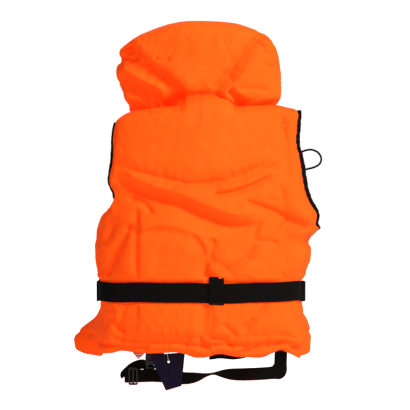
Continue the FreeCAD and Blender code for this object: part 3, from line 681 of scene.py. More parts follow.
def sheet(name, grid, normals, thick, mat):
    """Thin cloth from a grid of points, thickened along its normals, with closed edges."""
    rows, columns = grid.shape[:2]
    top = grid + normals * thick
    verts = np.vstack([top.reshape(-1, 3), grid.reshape(-1, 3)])
    offset = rows * columns
    faces = []
    for i in range(rows - 1):
        for j in range(columns - 1):
            a = i * columns + j
            quad = (a, a + 1, a + columns + 1, a + columns)
            faces.append(quad)
            faces.append(tuple(offset + q for q in quad[::-1]))
    ring = (list(range(columns)) + [i * columns + columns - 1 for i in range(1, rows)]
            + [(rows - 1) * columns + j for j in range(columns - 2, -1, -1)]
            + [i * columns for i in range(rows - 2, 0, -1)])
    for a, b in zip(ring, ring[1:] + ring[:1]):
        faces.append((b, a, offset + a, offset + b))
    across = np.linalg.norm(np.diff(grid, axis=1), axis=2)
    along = np.linalg.norm(np.diff(grid, axis=0), axis=2)
    u = np.concatenate([np.zeros((rows, 1)), np.cumsum(across, axis=1)], axis=1)
    v = np.concatenate([np.zeros((1, columns)), np.cumsum(along, axis=0)], axis=0)
    uv = np.stack([u, v], axis=2).reshape(-1, 2)
    return new_object(name, verts, faces, np.vstack([uv, uv]), mat)


# ---- padded pieces ------------------------------------------------------------------------------
CLOTH_STEP = 5.0


def wall(line, side):
    """Function (s, out) -> x, y and outward directions for an upright surface over a plan line.

    The line starts at the middle of the vest. side is 1 when outwards is on the line's left.
    """
    line = np.array(line, float)
    run = run_along(line)

    def at(s, out):
        far = np.abs(s)
        ahead = np.minimum(far + 0.6, run[-1])
        before = np.maximum(far - 0.6, 0)
        tx = np.interp(ahead, run, line[:, 0]) - np.interp(before, run, line[:, 0])
        ty = np.interp(ahead, run, line[:, 1]) - np.interp(before, run, line[:, 1])
        length = np.hypot(tx, ty)
        nx, ny = -ty / length * side, tx / length * side
        mirror = np.where(s < 0, -1.0, 1.0)
        x = np.interp(far, run, line[:, 0]) + nx * out
        y = np.interp(far, run, line[:, 1]) + ny * out
        return mirror * x, y, mirror * nx, ny
    return at


def padded(name, polygon, surface, thick, edge, lift, held, pressure, cap, height, seed, growth=0.015):
    """Closed padded piece: laid out on a surface, blown up between its seams, then folded.

    thick and lift are functions of (s, z), held is one of (s, z, side), and height of the points (x, z)
    and s gives the folds of the outer side.
    """
    def place(points, side):
        s, z = points.T
        depth = np.clip(depth_inside(points, polygon) / edge, 0, 1)
        full = thick(s, z)
        round_off = np.sqrt(1 - (1 - depth) ** 2) * side
        out = -full / 2 + full / 2 * round_off + lift(s, z)
        x, y, _, _ = surface(s, out)
        return np.column_stack([x, y, z])

    verts, tris, data = closed_shell(polygon, CLOTH_STEP, place)
    corner = verts[tris]
    if (corner[:, 0] * np.cross(corner[:, 1], corner[:, 2])).sum() < 0:
        tris = tris[:, ::-1]
    pinned = held(data[:, 0], data[:, 1], data[:, 2])
    pinned[data[:, 2] == 0] = 1
    verts = inflate(verts, tris, pinned, pressure, cap, growth=growth)
    verts, tris, data = refine(verts, tris, data)
    s, z, side = data.T
    inside = depth_inside(data[:, :2], polygon)
    x, _, nx, ny = surface(s, np.zeros(len(s)))
    plan = np.column_stack([x, z])
    share = smooth(inside / 16) * np.clip(side, 0, 1)
    outward = np.column_stack([nx, ny, np.zeros(len(s))])
    verts = verts + outward * (height(plan, s) * share)[:, None]
    crumple = ripples(data[:, :2], 26, seed) * 0.45 * smooth(inside / 10)
    verts = verts + outward * (crumple * side)[:, None]
    verts = relax(verts, tris, 1, 0.2)
    return new_object(name, verts, tris, data[:, :2], CLOTH)


def puckers(points, line, pitch, depth, reach, seed):
    """Small gathers at right angles to a seam."""
    line = through(line, LINE_STEP)
    dist, share = to_line(points, line)
    length = run_along(line)[-1]
    own = np.random.default_rng(seed)
    phase = share * length / pitch * math.tau
    wave = np.sin(phase + 1.7 * np.sin(phase * 0.31 + own.uniform(0, 6))) * (0.6 + 0.4 * np.sin(phase * 0.17))
    return depth * wave * np.exp(-np.abs(dist) / reach) * taper(share, 0.04)


def shelf(points, line, rise, reach, width, fade=0.15):
    """Cloth that bulges on the right of a line and drops to the rest on its left."""
    dist, share = to_line(points, through(line, LINE_STEP))
    drop = np.clip((-dist + width / 2) / width, 0, 1)
    return SHELF_GAIN * rise * drop * np.exp(-(np.maximum(-dist, 0) / reach) ** 2) * taper(share, fade)


BELT_Z = 112.0
BELT_WIDTH = 38.0
BELT_LOW = BELT_Z - BELT_WIDTH / 2
BELT_HIGH = BELT_Z + BELT_WIDTH / 2


def at_belt(z, soft):
    """1 at the belt's height, gone over a soft distance above and below it."""
    return smooth((z - BELT_LOW + soft) / soft) * smooth((BELT_HIGH + soft - z) / soft)


def under_belt(h, z):
    """Folds are flattened where the belt lies on them."""
    inside = at_belt(z, 7.0)
    return h * (1 - inside) + np.minimum(h * 0.2, 0) * inside


def belt_press(z, depth):
    """How far a pulled belt sinks in at a height."""
    return -depth * at_belt(z, 9.0)


def belt_hold(z):
    """Cloth held still where the belt presses on it."""
    return smooth((z - BELT_Z + 22) / 4) * smooth((BELT_Z + 22 - z) / 4)


# ---- back: yoke, lower slabs and the sides up to the seams -------------------------------------
BACK_SEAM = [(150, 352), (114, 342), (76, 332), (45, 325), (9, 319), (-61, 327), (-104, 337), (-150, 358)]


def back_outline():
    r = ring_run
    end = RING_END
    return through([
        (0, -15), (14, -14), (28, -9), (45, -5), (70, -6), (114, -8), (r(161), -5), (r(184), -10),
        (end - 3, -10),
        (end, 40), (end, 90), (end, 140), (end, 190), (end - 2, 226),
        (r(196), 249), (r(187), 267), (r(178), 284), (r(173), 300), (r(180), 314), (r(182), 328),
        (r(180), 345), (r(177), 370), (r(175), 412), (r(169), 436),
        (r(161), 447), (138, 458), (80, 465), (45, 468), (6, 474), (-28, 471), (-61, 465), (-95, 468),
        (r(-146), 470), (r(-165), 468), (r(-178), 464), (r(-186), 458),
        (-197, 425), (-196, 393), (-206, 360), (-214, 325), (-220, 296),
        (-229, 268), (-242, 246), (-end, 230),
        (-end, 190), (-end, 140), (-end, 90), (-end, 40), (-end, -8),
        (-end + 14, -24), (r(-193), -20), (r(-180), -9), (r(-165), -3), (r(-150), -8), (-135, -15),
        (-120, -17),
        (-95, -15), (-75, -14), (-60, -11), (-45, -8), (-30, -9), (-14, -14)], CLOTH_STEP, closed=True)


def back_thick(s, z):
    """Lower slabs, a thicker yoke, and little but cloth at the side seams."""
    full = 34 + 8 * smooth((z - 250) / 30)
    return full * (1 - 0.74 * smooth((np.abs(s) - 168) / 50))


def back_lift(s, z):
    """Where the whole back stands out or is drawn in."""
    right_side = smooth((-s - 160) / 38)
    reach = np.where(z > 232, 50.0, 20.0)
    flare = 30 * np.exp(-((z - 232) / reach) ** 2) + 11 * smooth((z - 236) / 30)
    flare = (flare + 17 * np.exp(-((z - 185) / 46) ** 2) * (z < 232)) * right_side
    flare = flare + 7 * np.exp(-((z - 195) / 45) ** 2) * smooth((s - 160) / 38)
    corner = 8 * smooth((60 - z) / 50) * smooth((np.abs(s) - 150) / 60)
    hem = -7 * smooth((22 - z) / 36)
    return flare + corner + hem + belt_press(z, 3.0)


def back_held(s, z, side):
    """Cloth held by the seams, the stitched middle, the belt and the hem."""
    plan = np.column_stack([np.sign(s) * np.minimum(np.abs(s), SIDE_X), z])
    seam = np.exp(-(to_line(plan, through(BACK_SEAM, 8.0))[0] / 5) ** 2)
    spine = 0.9 * np.exp(-((s + 12) / 6) ** 2) * (z < 240) * (z > 20)
    hem = smooth((24 - np.abs(z - 10)) / 6) * 0.5
    outer = np.maximum.reduce([seam, spine, belt_hold(z), hem])
    return np.where(side > 0, outer, 0.35)


# creases of the back: line, depth, width on its left and right, and the share it fades over
BACK_FOLDS = [
    # round the yoke and on the right side
    ([(-10, 296), (-40, 299), (-70, 304), (-110, 320), (-142, 340)], 6.5, 8, 7),
    ([(-50, 330), (-90, 341), (-126, 358)], 2.6, 6, 8),
    ([(-118, 258), (-106, 232), (-102, 212), (-94, 184), (-70, 166), (-30, 148)], 4.4, 6, 9),
    ([(-102, 212), (-126, 210), (-152, 206)], 3.4, 8, 6),
    ([(-120, 292), (-150, 286), (-158, 300), (-150, 322)], 2.4, 7, 8),
    ([(-148, 462), (-160, 424), (-168, 392), (-156, 362)], 2.4, 14, 8),
    # left slab: an arched top edge, its side crease and the folds toward the side
    ([(138, 298), (118, 288), (100, 275), (88, 258)], 4.5, 8, 6),
    ([(121, 278), (119, 240), (119, 200), (121, 140)], 4.2, 11, 8, 0.12),
    ([(-26, 218), (-22, 190), (-14, 165), (-10, 138)], 5.0, 12, 9, 0.1),
    ([(165, 246), (176, 222), (190, 196)], 3.5, 8, 10),
    ([(129, 246), (140, 226), (150, 205), (168, 178), (186, 136)], 7.0, 7, 11, 0.1),
    # below the belt
    ([(134, 97), (143, 82), (150, 66), (148, 52)], 3.0, 6, 8),
    ([(174, 70), (166, 52), (150, 38), (140, 34)], 4.5, 9, 7),
    ([(-8, 96), (-5, 68), (-3, 44), (-1, 22), (-16, -4)], 5.0, 8, 10, 0.08),
    ([(-139, 101), (-122, 84), (-104, 62), (-76, 32)], 4.2, 5, 8),
    ([(-40, 54), (-54, 42), (-70, 26)], 3.2, 6, 8),
    ([(-11, 30), (-30, 24), (-50, 18), (-68, 2)], 4.0, 6, 7),
    ([(-104, 62), (-86, 50), (-72, 50)], 2.5, 9, 7),
    ([(197, 92), (193, 62), (190, 34), (196, 4)], 6.5, 8, 12, 0.1),
    ([(200, 12), (176, 6), (150, 4), (120, 4), (96, 3)], 7.0, 8, 7, 0.1),
    ([(-80, -3), (-100, 0), (-126, 5), (-152, 8), (-176, 4), (-206, -6)], 7.0, 8, 7, 0.05),
    ([(-196, 46), (-200, 28), (-206, 10), (-212, -4)], 4.0, 6, 8),
    ([(-150, 30), (-168, 24), (-186, 20)], 3.0, 5, 7),
    ([(30, 40), (22, 24), (30, 4), (28, -6)], 2.5, 6, 6),
]


LIP = [(164, 346), (151, 338), (115, 317), (84, 304), (39, 292), (3, 276), (-32, 262), (-68, 252),
       (-118, 256)]
RIGHT_FOLD = [(-82, 288), (-110, 277), (-138, 267), (-160, 257), (-175, 247), (-184, 236), (-195, 220),
              (-206, 198)]
ARCH = [(114, 222), (85, 232), (60, 233), (36, 228), (14, 219), (-1, 205), (-7, 186), (-9, 142)]
HEM = [(176, 20), (140, 17), (100, 15), (40, 14), (0, 8), (-40, 11), (-100, 8), (-150, 14), (-190, 8)]
YOKE = [(168, 480), (166, 420), (170, 370), *BACK_SEAM, (-170, 384), (-161, 422), (-150, 480)]
LEFT_SLAB = [(116, 222), (85, 233), (47, 235), (19, 228), (1, 210), (-9, 186), (-10, 60), (-6, 26), (118, 30)]
RIGHT_SLAB = [(-24, 26), (-26, 180), (-44, 200), (-90, 180), (-150, 150), (-176, 120), (-180, 34)]


def back_height(plan, _):
    x, z = plan.T
    h = folds(plan, BACK_FOLDS)
    h += fold(plan, BACK_SEAM, 3.2, 7, 12, 0.08) + puckers(plan, BACK_SEAM, 17, 0.25, 10, 3)
    h += pillow(plan, YOKE, 4.0, 26) + pillow(plan, LEFT_SLAB, 5.0, 24) + pillow(plan, RIGHT_SLAB, 3.5, 26)
    # the yoke hangs over the seam, and a deep fold runs below it
    foot = [(a, b - 12) for a, b in LIP]
    h += shelf(plan, LIP, 5.0, 30, 20) + shelf(plan, LIP[::-1], -5.0, 30, 20)
    h += fold(plan, foot, 5.0, 16, 7, 0.12)
    h += shelf(plan, [(-28, 306), (-66, 312), (-104, 322), (-140, 340)], 3.4, 16, 12)
    h += fold(plan, RIGHT_FOLD, 7.0, 7, 10, 0.1) + shelf(plan, RIGHT_FOLD[:2:-1], -7.0, 20, 15)
    h += shelf(plan, ARCH, 5.5, 26, 14, 0.08) + fold(plan, ARCH, 2.4, 8, 8, 0.08)
    h += shelf(plan, [(136, 238), (142, 190), (146, 138)], 3.6, 30, 34)
    # rolled hem, more crumpled at its right corner
    h += fold(plan, HEM, 5.5, 6, 9, 0.04) + puckers(plan, HEM, 15, 1.1, 11, 5)
    h += 2.5 * ripples(plan, 30, 11, (1.0, 1.6)) * smooth((-x - 110) / 30) * smooth((30 - z) / 18)
    # long soft waves, fewer over the tight yoke
    loose = 1 - 0.7 * smooth((z - 345) / 20)
    h += (1.2 * ripples(plan, 95, 21, (1.0, 0.7)) + 0.5 * ripples(plan, 42, 22, (0.8, 1.2))) * loose
    return under_belt(h, z)


BACK_WALL = wall(RING, 1)
back_poly = back_outline()
back_shell = padded("back_shell", back_poly, BACK_WALL, back_thick, 24.0, back_lift, back_held,
                    pressure=3.0, cap=9.0, height=back_height, seed=31)
rider(back_shell, "back", "cover_fabric", "back_cover", "side_gusset_left", "side_gusset_right", "yoke_foam",
      "back_foam_left", "back_foam_right")


# ---- front halves -------------------------------------------------------------------------------
FRONT_Y = -137.0
FRONT_EDGE = 6.5


def front_line():
    """Plan of a front half's outer side, from the closure round to the side seam."""
    p0, p1 = np.array([142.0, FRONT_Y]), np.array([186.0, FRONT_Y])
    p2, p3 = np.array([SIDE_X, -122.0]), np.array([SIDE_X, -76.0])
    return np.vstack([[[0.0, FRONT_Y]], bezier(p0, p1, p2, p3, 50), [[SIDE_X, -11.0], [SIDE_X, 20.0]]])


FRONT = front_line()
FRONT_END = float(run_along(FRONT)[-2])
FRONT_WALL = wall(FRONT, -1)


def front_outline(sign):
    end = FRONT_END
    points = [(FRONT_EDGE, 2), (40, -2), (90, -4), (140, -6), (180, -12), (end - 40, -24), (end - 3, -16),
              (end, 40), (end, 90), (end, 140), (end, 190), (end - 2, 228),
              (end - 26, 226), (end - 52, 228), (182, 242), (168, 268), (160, 310), (160, 348), (168, 395),
              (174, 438), (160, 446), (130, 448), (108, 444), (97, 428), (72, 388), (42, 354), (16, 330),
              (FRONT_EDGE, 318), (FRONT_EDGE, 260), (FRONT_EDGE, 200), (FRONT_EDGE, 140), (FRONT_EDGE, 70)]
    if sign < 0:
        points = [(-s, z) for s, z in reversed(points)]
    return through(points, CLOTH_STEP, closed=True)


def front_thick(s, z):
    """Thick in the middle of the chest, thin towards the side seam and the shoulder."""
    full = 62 * (1 - 0.84 * smooth((np.abs(s) - 128) / 78))
    return full * (1 - 0.62 * smooth((z - 392) / 60))


def front_lift(s, z):
    """The hem flares at the sides, most on the wearer's left, and the belt draws the waist in."""
    far = np.abs(s)
    spread = np.exp(-((far - (FRONT_END - 62)) / 34) ** 2) * smooth((FRONT_END - far) / 30)
    left = 52 * smooth((74 - z) / 68) * smooth((z + 55) / 45)
    right = 24 * smooth((90 - z) / 80)
    upper = 18 * np.exp(-((z - 196) / 40) ** 2)
    return spread * np.where(s > 0, left, right + upper) + belt_press(z, 4.0)


def front_held(s, z, side):
    closure = smooth((26 - np.abs(s)) / 8) * 0.6
    return np.where(side > 0, np.maximum(belt_hold(z), closure), 0.3)


def front_height(plan, s):
    z = plan[:, 1]
    sign = 1 if s.mean() > 0 else -1
    flat = np.column_stack([np.abs(s), z])
    hem = [(10, 24), (60, 20), (120, 20), (180, 22), (FRONT_END - 8, 20)]
    chest = [(12, 262), (60, 256), (110, 262), (150, 280)]
    h = fold(flat, hem, 3.5, 6, 9, 0.03) + puckers(flat, hem, 14, 1.1, 11, 8 + sign)
    h += fold(flat, chest, 4.0, 9, 9, 0.05) + puckers(flat, chest, 12, 1.2, 16, 12 + sign)
    h += folds(flat, [
        ([(24, 300), (60, 322), (96, 366), (116, 410)], 2.6, 10, 12),
        ([(30, 214), (70, 190 + 8 * sign), (104, 176), (140, 150)], 3.4, 8, 12),
        ([(60, 236), (100, 214), (140, 206 - 9 * sign), (176, 190)], 3.0, 8, 12),
        ([(40, 90), (60, 70), (66 + 6 * sign, 40)], 3.6, 7, 10),
        ([(110, 90), (118, 66), (140, 38)], 3.6, 7, 10),
        ([(160, 92), (168, 60), (186, 30)], 4.0, 9, 10),
        ([(FRONT_END - 46, 96), (FRONT_END - 58, 60), (FRONT_END - 70, 24)], 4.0, 10, 12),
        ([(FRONT_END - 90, 230), (FRONT_END - 70, 190), (FRONT_END - 64, 140)], 3.4, 9, 12)])
    h += 1.7 * ripples(flat, 90, 40 + sign) + 0.8 * ripples(flat, 40, 50 + sign)
    return under_belt(h, z)


def front_half(sign):
    name = SIDES[sign]
    shell = padded(f"front_shell_{name}", front_outline(sign), FRONT_WALL, front_thick, 17.0, front_lift,
                   front_held, pressure=4.0, cap=8.0, height=front_height, seed=61 + sign)
    return rider(shell, f"front_{name}", "cover_fabric", f"front_cover_{name}", f"front_foam_{name}",
                 f"front_side_{name}")


fronts = {sign: front_half(sign) for sign in SIDES}


# ---- head collar --------------------------------------------------------------------------------
COLLAR_R = 302.5
COLLAR_Y = 78.5


def collar_line():
    angles = np.linspace(0, 0.75, 120)
    return np.column_stack([COLLAR_R * np.sin(angles), COLLAR_Y - COLLAR_R + COLLAR_R * np.cos(angles)])


COLLAR = collar_line()


def collar_run(x):
    return COLLAR_R * math.asin(x / COLLAR_R)


def collar_outline():
    right = [(36, 630), (72, 627), (104, 619), (126, 610), (137, 605), (147, 590), (158, 565), (165, 532),
             (166, 502), (163, 476), (157, 460), (104, 455), (50, 456)]
    left = [(50, 456), (104, 454), (146, 455), (153, 474), (161, 498), (169, 520), (171, 534), (168, 549),
            (160, 556), (165, 567), (163, 578), (156, 586), (142, 595), (126, 605), (100, 615), (70, 624),
            (36, 630)]
    points = [(0, 457), *left, (0, 631)] + [(-x, z) for x, z in right]
    return through([(collar_run(x), z) for x, z in points], CLOTH_STEP, closed=True)


def collar_thick(s, z):
    """Even foam, thinner at the neck seam and a little thinner in the wings."""
    return 51 * (1 - 0.5 * smooth((482 - z) / 26)) * (1 - 0.16 * smooth((np.abs(s) - 110) / 50))


def collar_lift(s, z):
    """The middle lobe leans back a little, and the seam at the neck is drawn in."""
    lean = 5 * smooth((z - 500) / 110) * np.exp(-(s / 120) ** 2)
    neck = -15 * smooth((486 - z) / 22)
    return lean + neck


COLLAR_LEFT = [(150, 584), (129, 578), (112, 561), (95, 545), (74, 530), (57, 516), (40, 500), (26, 486)]
COLLAR_RIGHT = [(-128, 604), (-108, 584), (-89, 564), (-74, 544), (-64, 526), (-48, 508), (-32, 490)]
COLLAR_NECK = [(66, 474), (42, 484), (20, 489), (-6, 491), (-30, 490), (-52, 484), (-76, 472)]


def collar_held(s, z, side):
    plan = np.column_stack([s, z])
    seams = [np.exp(-(to_line(plan, through(line, 6.0))[0] / 5) ** 2)
             for line in (COLLAR_LEFT, COLLAR_RIGHT, COLLAR_NECK)]
    return np.where(side > 0, np.maximum.reduce(seams), 0.25)


# creases of the collar, in the same order of values
COLLAR_FOLDS = [
    # pockets where the grooves reach the neck
    ([(76, 466), (60, 476), (44, 486), (28, 490)], 14.0, 8, 9, 0.1),
    ([(-50, 498), (-60, 492), (-72, 480), (-88, 468)], 11.0, 7, 7, 0.12),
    ([(-60, 498), (-90, 500), (-138, 497)], 2.6, 4, 9),
    # left wing: lit ridge along the groove, hollow below it
    ([(152, 544), (124, 528), (96, 512), (62, 496)], -5.0, 9, 10),
    ([(160, 528), (130, 508), (100, 492), (70, 480)], 7.0, 16, 10),
    ([(150, 506), (120, 486), (96, 470)], 3.0, 7, 12),
    # crumpled corner
    ([(156, 557), (144, 560), (126, 552)], 6.0, 5, 6),
    ([(146, 590), (136, 570), (118, 552)], 4.0, 6, 6),
    # middle and right wing
    ([(88, 560), (70, 552), (52, 556)], 2.4, 4, 7),
    ([(-48, 540), (-58, 524), (-60, 506)], 2.2, 5, 8),
    ([(-110, 590), (-116, 566), (-112, 540)], 2.0, 8, 12),
]


def spot(plan, centre, reach):
    """1 at a point of the layout, gone at about its reach in x and z."""
    return np.exp(-(((plan - centre) / reach) ** 2).sum(axis=1))


def collar_height(plan, _):
    x, z = plan.T
    left_edge = [(a - 4, b + 4) for a, b in COLLAR_LEFT]
    right_edge = [(a + 7, b + 6) for a, b in COLLAR_RIGHT[::-1]]
    h = folds(plan, COLLAR_FOLDS)
    h += pillow(plan, left_edge + COLLAR_NECK[2:5] + right_edge + [(-120, 660), (150, 660)], 6.0, 18)
    h += fold(plan, COLLAR_LEFT, 8.0, 11, 10, 0.05) + shelf(plan, COLLAR_LEFT, 5.0, 40, 14, 0.05)
    h += fold(plan, right_edge, 3.0, 8, 8, 0.06) + shelf(plan, COLLAR_RIGHT, 10.0, 50, 19, 0.05)
    h += fold(plan, COLLAR_NECK, 3.0, 10, 9, 0.05)
    h += puckers(plan, COLLAR_LEFT, 13, 1.3, 14, 1) + puckers(plan, COLLAR_RIGHT, 14, 1.2, 14, 2)
    # crumpled corners, and the gathers at the middle lobe's foot
    h += 2.6 * ripples(plan, 15, 3) * spot(plan, (144, 568), (16, 18))
    h += 1.8 * ripples(plan, 16, 6) * spot(plan, (-128, 592), (18, 16))
    gather = smooth((496 - z) / 14) * np.exp(-((x + 8) / 52) ** 2)
    h += 1.6 * ripples(plan, 15, 17, (1.5, 0.5)) * gather
    return h + 1.3 * ripples(plan, 80, 9) + 0.5 * ripples(plan, 34, 10)


collar_shell = padded("collar_shell", collar_outline(), wall(COLLAR, 1), collar_thick, 25.0, collar_lift,
                      collar_held, pressure=4.0, cap=7.0, height=collar_height, seed=71, growth=0.02)
rider(collar_shell, "collar", "cover_fabric", "collar_cover", "collar_foam_centre", "collar_foam_left",
      "collar_foam_right")


# ---- cloth that spans the joints ----------------------------------------------------------------
BACK_TREE = surface_tree(back_shell)
FRONT_TREES = {sign: surface_tree(shell) for sign, shell in fronts.items()}
COLLAR_TREE = surface_tree(collar_shell)


def side_seam(sign):
    """Strip of cover cloth over the side seam, from the back on to the front half."""
    name = SIDES[sign]
    share = np.linspace(0, 1, 15)
    rows = []
    for z in np.arange(8, 227, 4.0):
        ends = [seat(tree, [(sign * 215, y, z)], 0.0, (-sign, 0, 0))[0][0]
                for tree, y in ((BACK_TREE, 20.0), (FRONT_TREES[sign], -40.0))]
        line = ends[0] + share[:, None] * (ends[1] - ends[0])
        belt = math.exp(-((z - BELT_Z) / 26) ** 2)
        bulge = 2.6 * (1 - 0.8 * belt) * np.sin(share * math.pi)
        line[:, 0] += sign * (bulge - 0.8 * np.cos(share * math.pi) ** 8)
        rows.append(line)
    grid = np.array(rows)
    normals = np.zeros_like(grid)
    normals[..., 0] = sign
    wobble = ripples(grid[..., 1:].reshape(-1, 2), 34, 80 + sign).reshape(grid.shape[:2])
    grid[..., 0] += sign * 0.7 * wobble * np.sin(share * math.pi)[None, :]
    strip = sheet(f"side_seam_{name}", grid - normals * 2.2, normals, 2.4, CLOTH)
    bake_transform(strip)


def shoulder(sign):
    """Padded strap over the shoulder, between the back and the front half."""
    name = SIDES[sign]
    half_thick = 7.5
    polygon = through([(112, -96), (140, -98), (172, -94), (176, -60), (175, -20), (176, 20), (172, 52),
                       (168, 70), (140, 80), (112, 88), (107, 60), (106, 20), (106, -20), (108, -60)],
                      4.0, closed=True)
    top = 433.0 if sign > 0 else 451.0

    def height_at(y):
        return top - 5 - 0.0016 * (y + 8) ** 2 + 2 * np.sin(y / 30)

    def place(points, side):
        x, y = points.T
        depth = np.clip(depth_inside(points, polygon) / 9, 0, 1)
        half = half_thick * np.sqrt(1 - (1 - depth) ** 2) * side
        return np.column_stack([x, y, height_at(y) - 8 + half])

    verts, tris, data = closed_shell(polygon, 4.0, place)
    pinned = (data[:, 2] == 0).astype(float)
    verts = inflate(verts, tris, pinned, pressure=5.0, cap=3.0, growth=0.02, frames=12)
    plan = data[:, :2]
    verts[:, 2] += (0.9 * ripples(plan, 26, 90 + sign, (0.4, 1.3))
                    + fold(plan, [(104, -8), (140, -12), (178, -8)], 2.2, 6, 6, 0.05)) * (data[:, 2] > 0)
    # laid out on the left: the left strap is drawn in toward the neck, the right one is turned over
    # and reaches a little further out
    if sign > 0:
        verts[:, 0] -= 15 * smooth((verts[:, 0] - 120) / 50)
    else:
        verts[:, 0] *= -1
        tris = tris[:, ::-1]
        verts[:, 0] -= 6 * smooth((np.abs(verts[:, 0]) - 150) / 30)
    piece = new_object(f"shoulder_{name}", verts, tris, plan, CLOTH)
    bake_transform(piece)
    return piece


NECK_TOP = [(-138, 454), (-84, 460), (-66, 468), (-54, 479), (-32, 488), (10, 488), (26, 483), (40, 474),
            (58, 464), (92, 456), (134, 448)]
NECK_RISE = 38.0


def neck_cloth():
    """Cloth drawn up from the back's top edge and tucked in under the foot of the collar."""
    columns = np.linspace(-112, 104, 73)
    tops = np.interp(columns, *np.array(NECK_TOP, float).T)
    middle = np.exp(-((columns + 8) / 74) ** 4)
    rise = np.linspace(0, 1, 12)
    lines = []
    normals = []
    for x, top, share in zip(columns, tops, middle):
        foot = top - NECK_RISE
        outside, _ = seat(BACK_TREE, [(x, 180, foot)], -2.0 - 12 * (1 - share), (0, -1, 0))
        inside, _ = seat(COLLAR_TREE, [(x * 0.98, 180, top)], -3.0, (0, -1, 0))
        y = inside[0][1] + (outside[0][1] - inside[0][1]) * (1 - rise ** 3)
        lines.append(np.column_stack([np.full(12, x), y, foot + NECK_RISE * rise]))
        normals.append(np.column_stack([np.zeros(12), np.ones(12), rise ** 2]))
    grid = np.array(lines).transpose(1, 0, 2)
    normals = np.array(normals).transpose(1, 0, 2)
    plan = grid[..., [0, 2]].reshape(-1, 2)
    gathers = 0.5 * ripples(plan, 26, 17, (1.4, 0.5))
    gathers += fold(plan, [(-12, 478), (-34, 474), (-52, 466)], 2.4, 4, 6)
    grid = grid + normals * (gathers.reshape(grid.shape[:2]) * rise[:, None])[..., None]
    piece = sheet("neck_cloth", grid, normals, 1.0, CLOTH)
    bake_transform(piece)


for sign in SIDES:
    side_seam(sign)
for sign, name in SIDES.items():
    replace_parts(shoulder(sign), "back_shoulder_pads", f"front_shoulder_pad_{name}")
neck_cloth()


# ---- armhole binding ----------------------------------------------------------------------------
def rim_points(polygon, start, end, surface, thick, lift):
    """Part of a padded piece's edge between two layout points, as places, outward in its layout."""
    near = [int(np.argmin(np.hypot(*(polygon - np.array(p)).T))) for p in (start, end)]
    count = len(polygon)
    steps = (near[1] - near[0]) % count
    picks = [(near[0] + i) % count for i in range(steps + 1)]
    line = polygon[picks]
    ahead = unit(np.roll(polygon, -1, axis=0) - np.roll(polygon, 1, axis=0))[picks]
    away = np.column_stack([ahead[:, 1], -ahead[:, 0]])
    s, z = line.T
    out = -thick(s, z) / 2 + lift(s, z)
    x, y, _, _ = surface(s, out)
    x2, y2, _, _ = surface(s + away[:, 0], out)
    places = np.column_stack([x, y, z])
    outward = unit(np.column_stack([x2, y2, z + away[:, 1]]) - places)
    return places, outward


def armhole_binding(name, body, polygon, start, end, surface, thick, lift, width, stands, cad_node,
                    face=(0.0, 0.0, 0.0), tuck=None):
    """Tape over the raw edge, standing out from it by a distance.

    face turns its width toward a direction, tuck(z) draws it under the edge.
    """
    places, outward = rim_points(polygon, start, end, surface, thick, lift)
    outward = unit(outward + np.array(face))
    if tuck is not None:
        centre = places * [1, 1, 0]
        places = places - unit(centre) * tuck(places[:, 2])[:, None]
    line = through((places + outward * stands)[::2], 2.0)
    share = np.linspace(0, 1, len(line))
    spread = np.array([np.interp(share, np.linspace(0, 1, len(outward)), outward[:, i]) for i in range(3)]).T
    uneven = 1 + 0.07 * np.sin(share * 61) + 0.05 * np.sin(share * 137)
    tape = sweep(name + "_tape", line, spread, width * uneven, 5.0 * uneven, BINDING, 3.0, 16)
    inner = line - unit(spread) * (width / 2 - 1.2)
    ahead = unit(np.gradient(line, axis=0))
    over = np.cross(ahead, unit(spread))
    over = over * np.where((over * line * np.array([1, 1, 0])).sum(axis=1) < 0, -1, 1)[:, None]
    row = stitch_row(name + "_row", inner + over * 2.3, over, DARK_SEWING, 2.6, 3.6, 0.3)
    rider(joined(name, [tape, row]), body, "binding", cad_node)


armhole_binding("armhole_tape_back_left", "back", back_poly, (RING_END - 6, 229), (ring_run(169), 436),
                BACK_WALL, back_thick, back_lift, 5.5, 4.5, "back_armhole_binding_left", face=(2.4, 0, 0),
                tuck=lambda z: 11 * smooth((294 - z) / 10))
armhole_binding("armhole_tape_back_right", "back", back_poly, (ring_run(-184), 459), (-RING_END, 222),
                BACK_WALL, back_thick, back_lift, 9.5, 4.0, "back_armhole_binding_right", face=(-2.4, 0, 0))
for sign, name in SIDES.items():
    outline = front_outline(sign)
    ends = [(FRONT_END - 8, 229), (174, 436)]
    if sign < 0:
        ends = [(-s, z) for s, z in reversed(ends)]
    armhole_binding(f"armhole_tape_front_{name}", f"front_{name}", outline, ends[0], ends[1], FRONT_WALL,
                    front_thick, front_lift, 7.0, 2.0, f"front_armhole_binding_{name}")


# ---- waist belt ---------------------------------------------------------------------------------
def belt_back():
    run = np.arange(-RING_END + 2, RING_END - 1.9, 3.0)
    tips = 5.0 * smooth((np.abs(run) - RING_END + 70) / 60)
    wave = 0.8 * np.sin(run / 37) + 0.5 * np.sin(run / 17 + 1)
    z = BELT_Z - tips + wave - 0.6
    x, y, _, _ = BACK_WALL(run, np.full(len(run), 0.4))
    centres = np.column_stack([x, y, z])
    place, _ = seat(BACK_TREE, centres, 0.0)
    out = np.linalg.norm(place[:, :2], axis=1) - np.linalg.norm(centres[:, :2], axis=1)
    x, y, _, _ = BACK_WALL(run, np.clip(out, 0.4, 3.0) + 0.9)
    lean = np.column_stack([0.05 * np.sin(run / 23), np.zeros(len(run)), np.ones(len(run))])
    belt = webbing("waist_belt_back", np.column_stack([x, y, z]), lean, BELT_WIDTH, 1.8)
    rider(belt, "back", "webbing", "belt_back")


def over_belt(span):
    """0 where a loop stands over the belt, 1 where it lies on the cover above and below."""
    near = np.abs(span - BELT_Z)
    return np.where(near < 21, 0, smooth((near - 20) / 4))


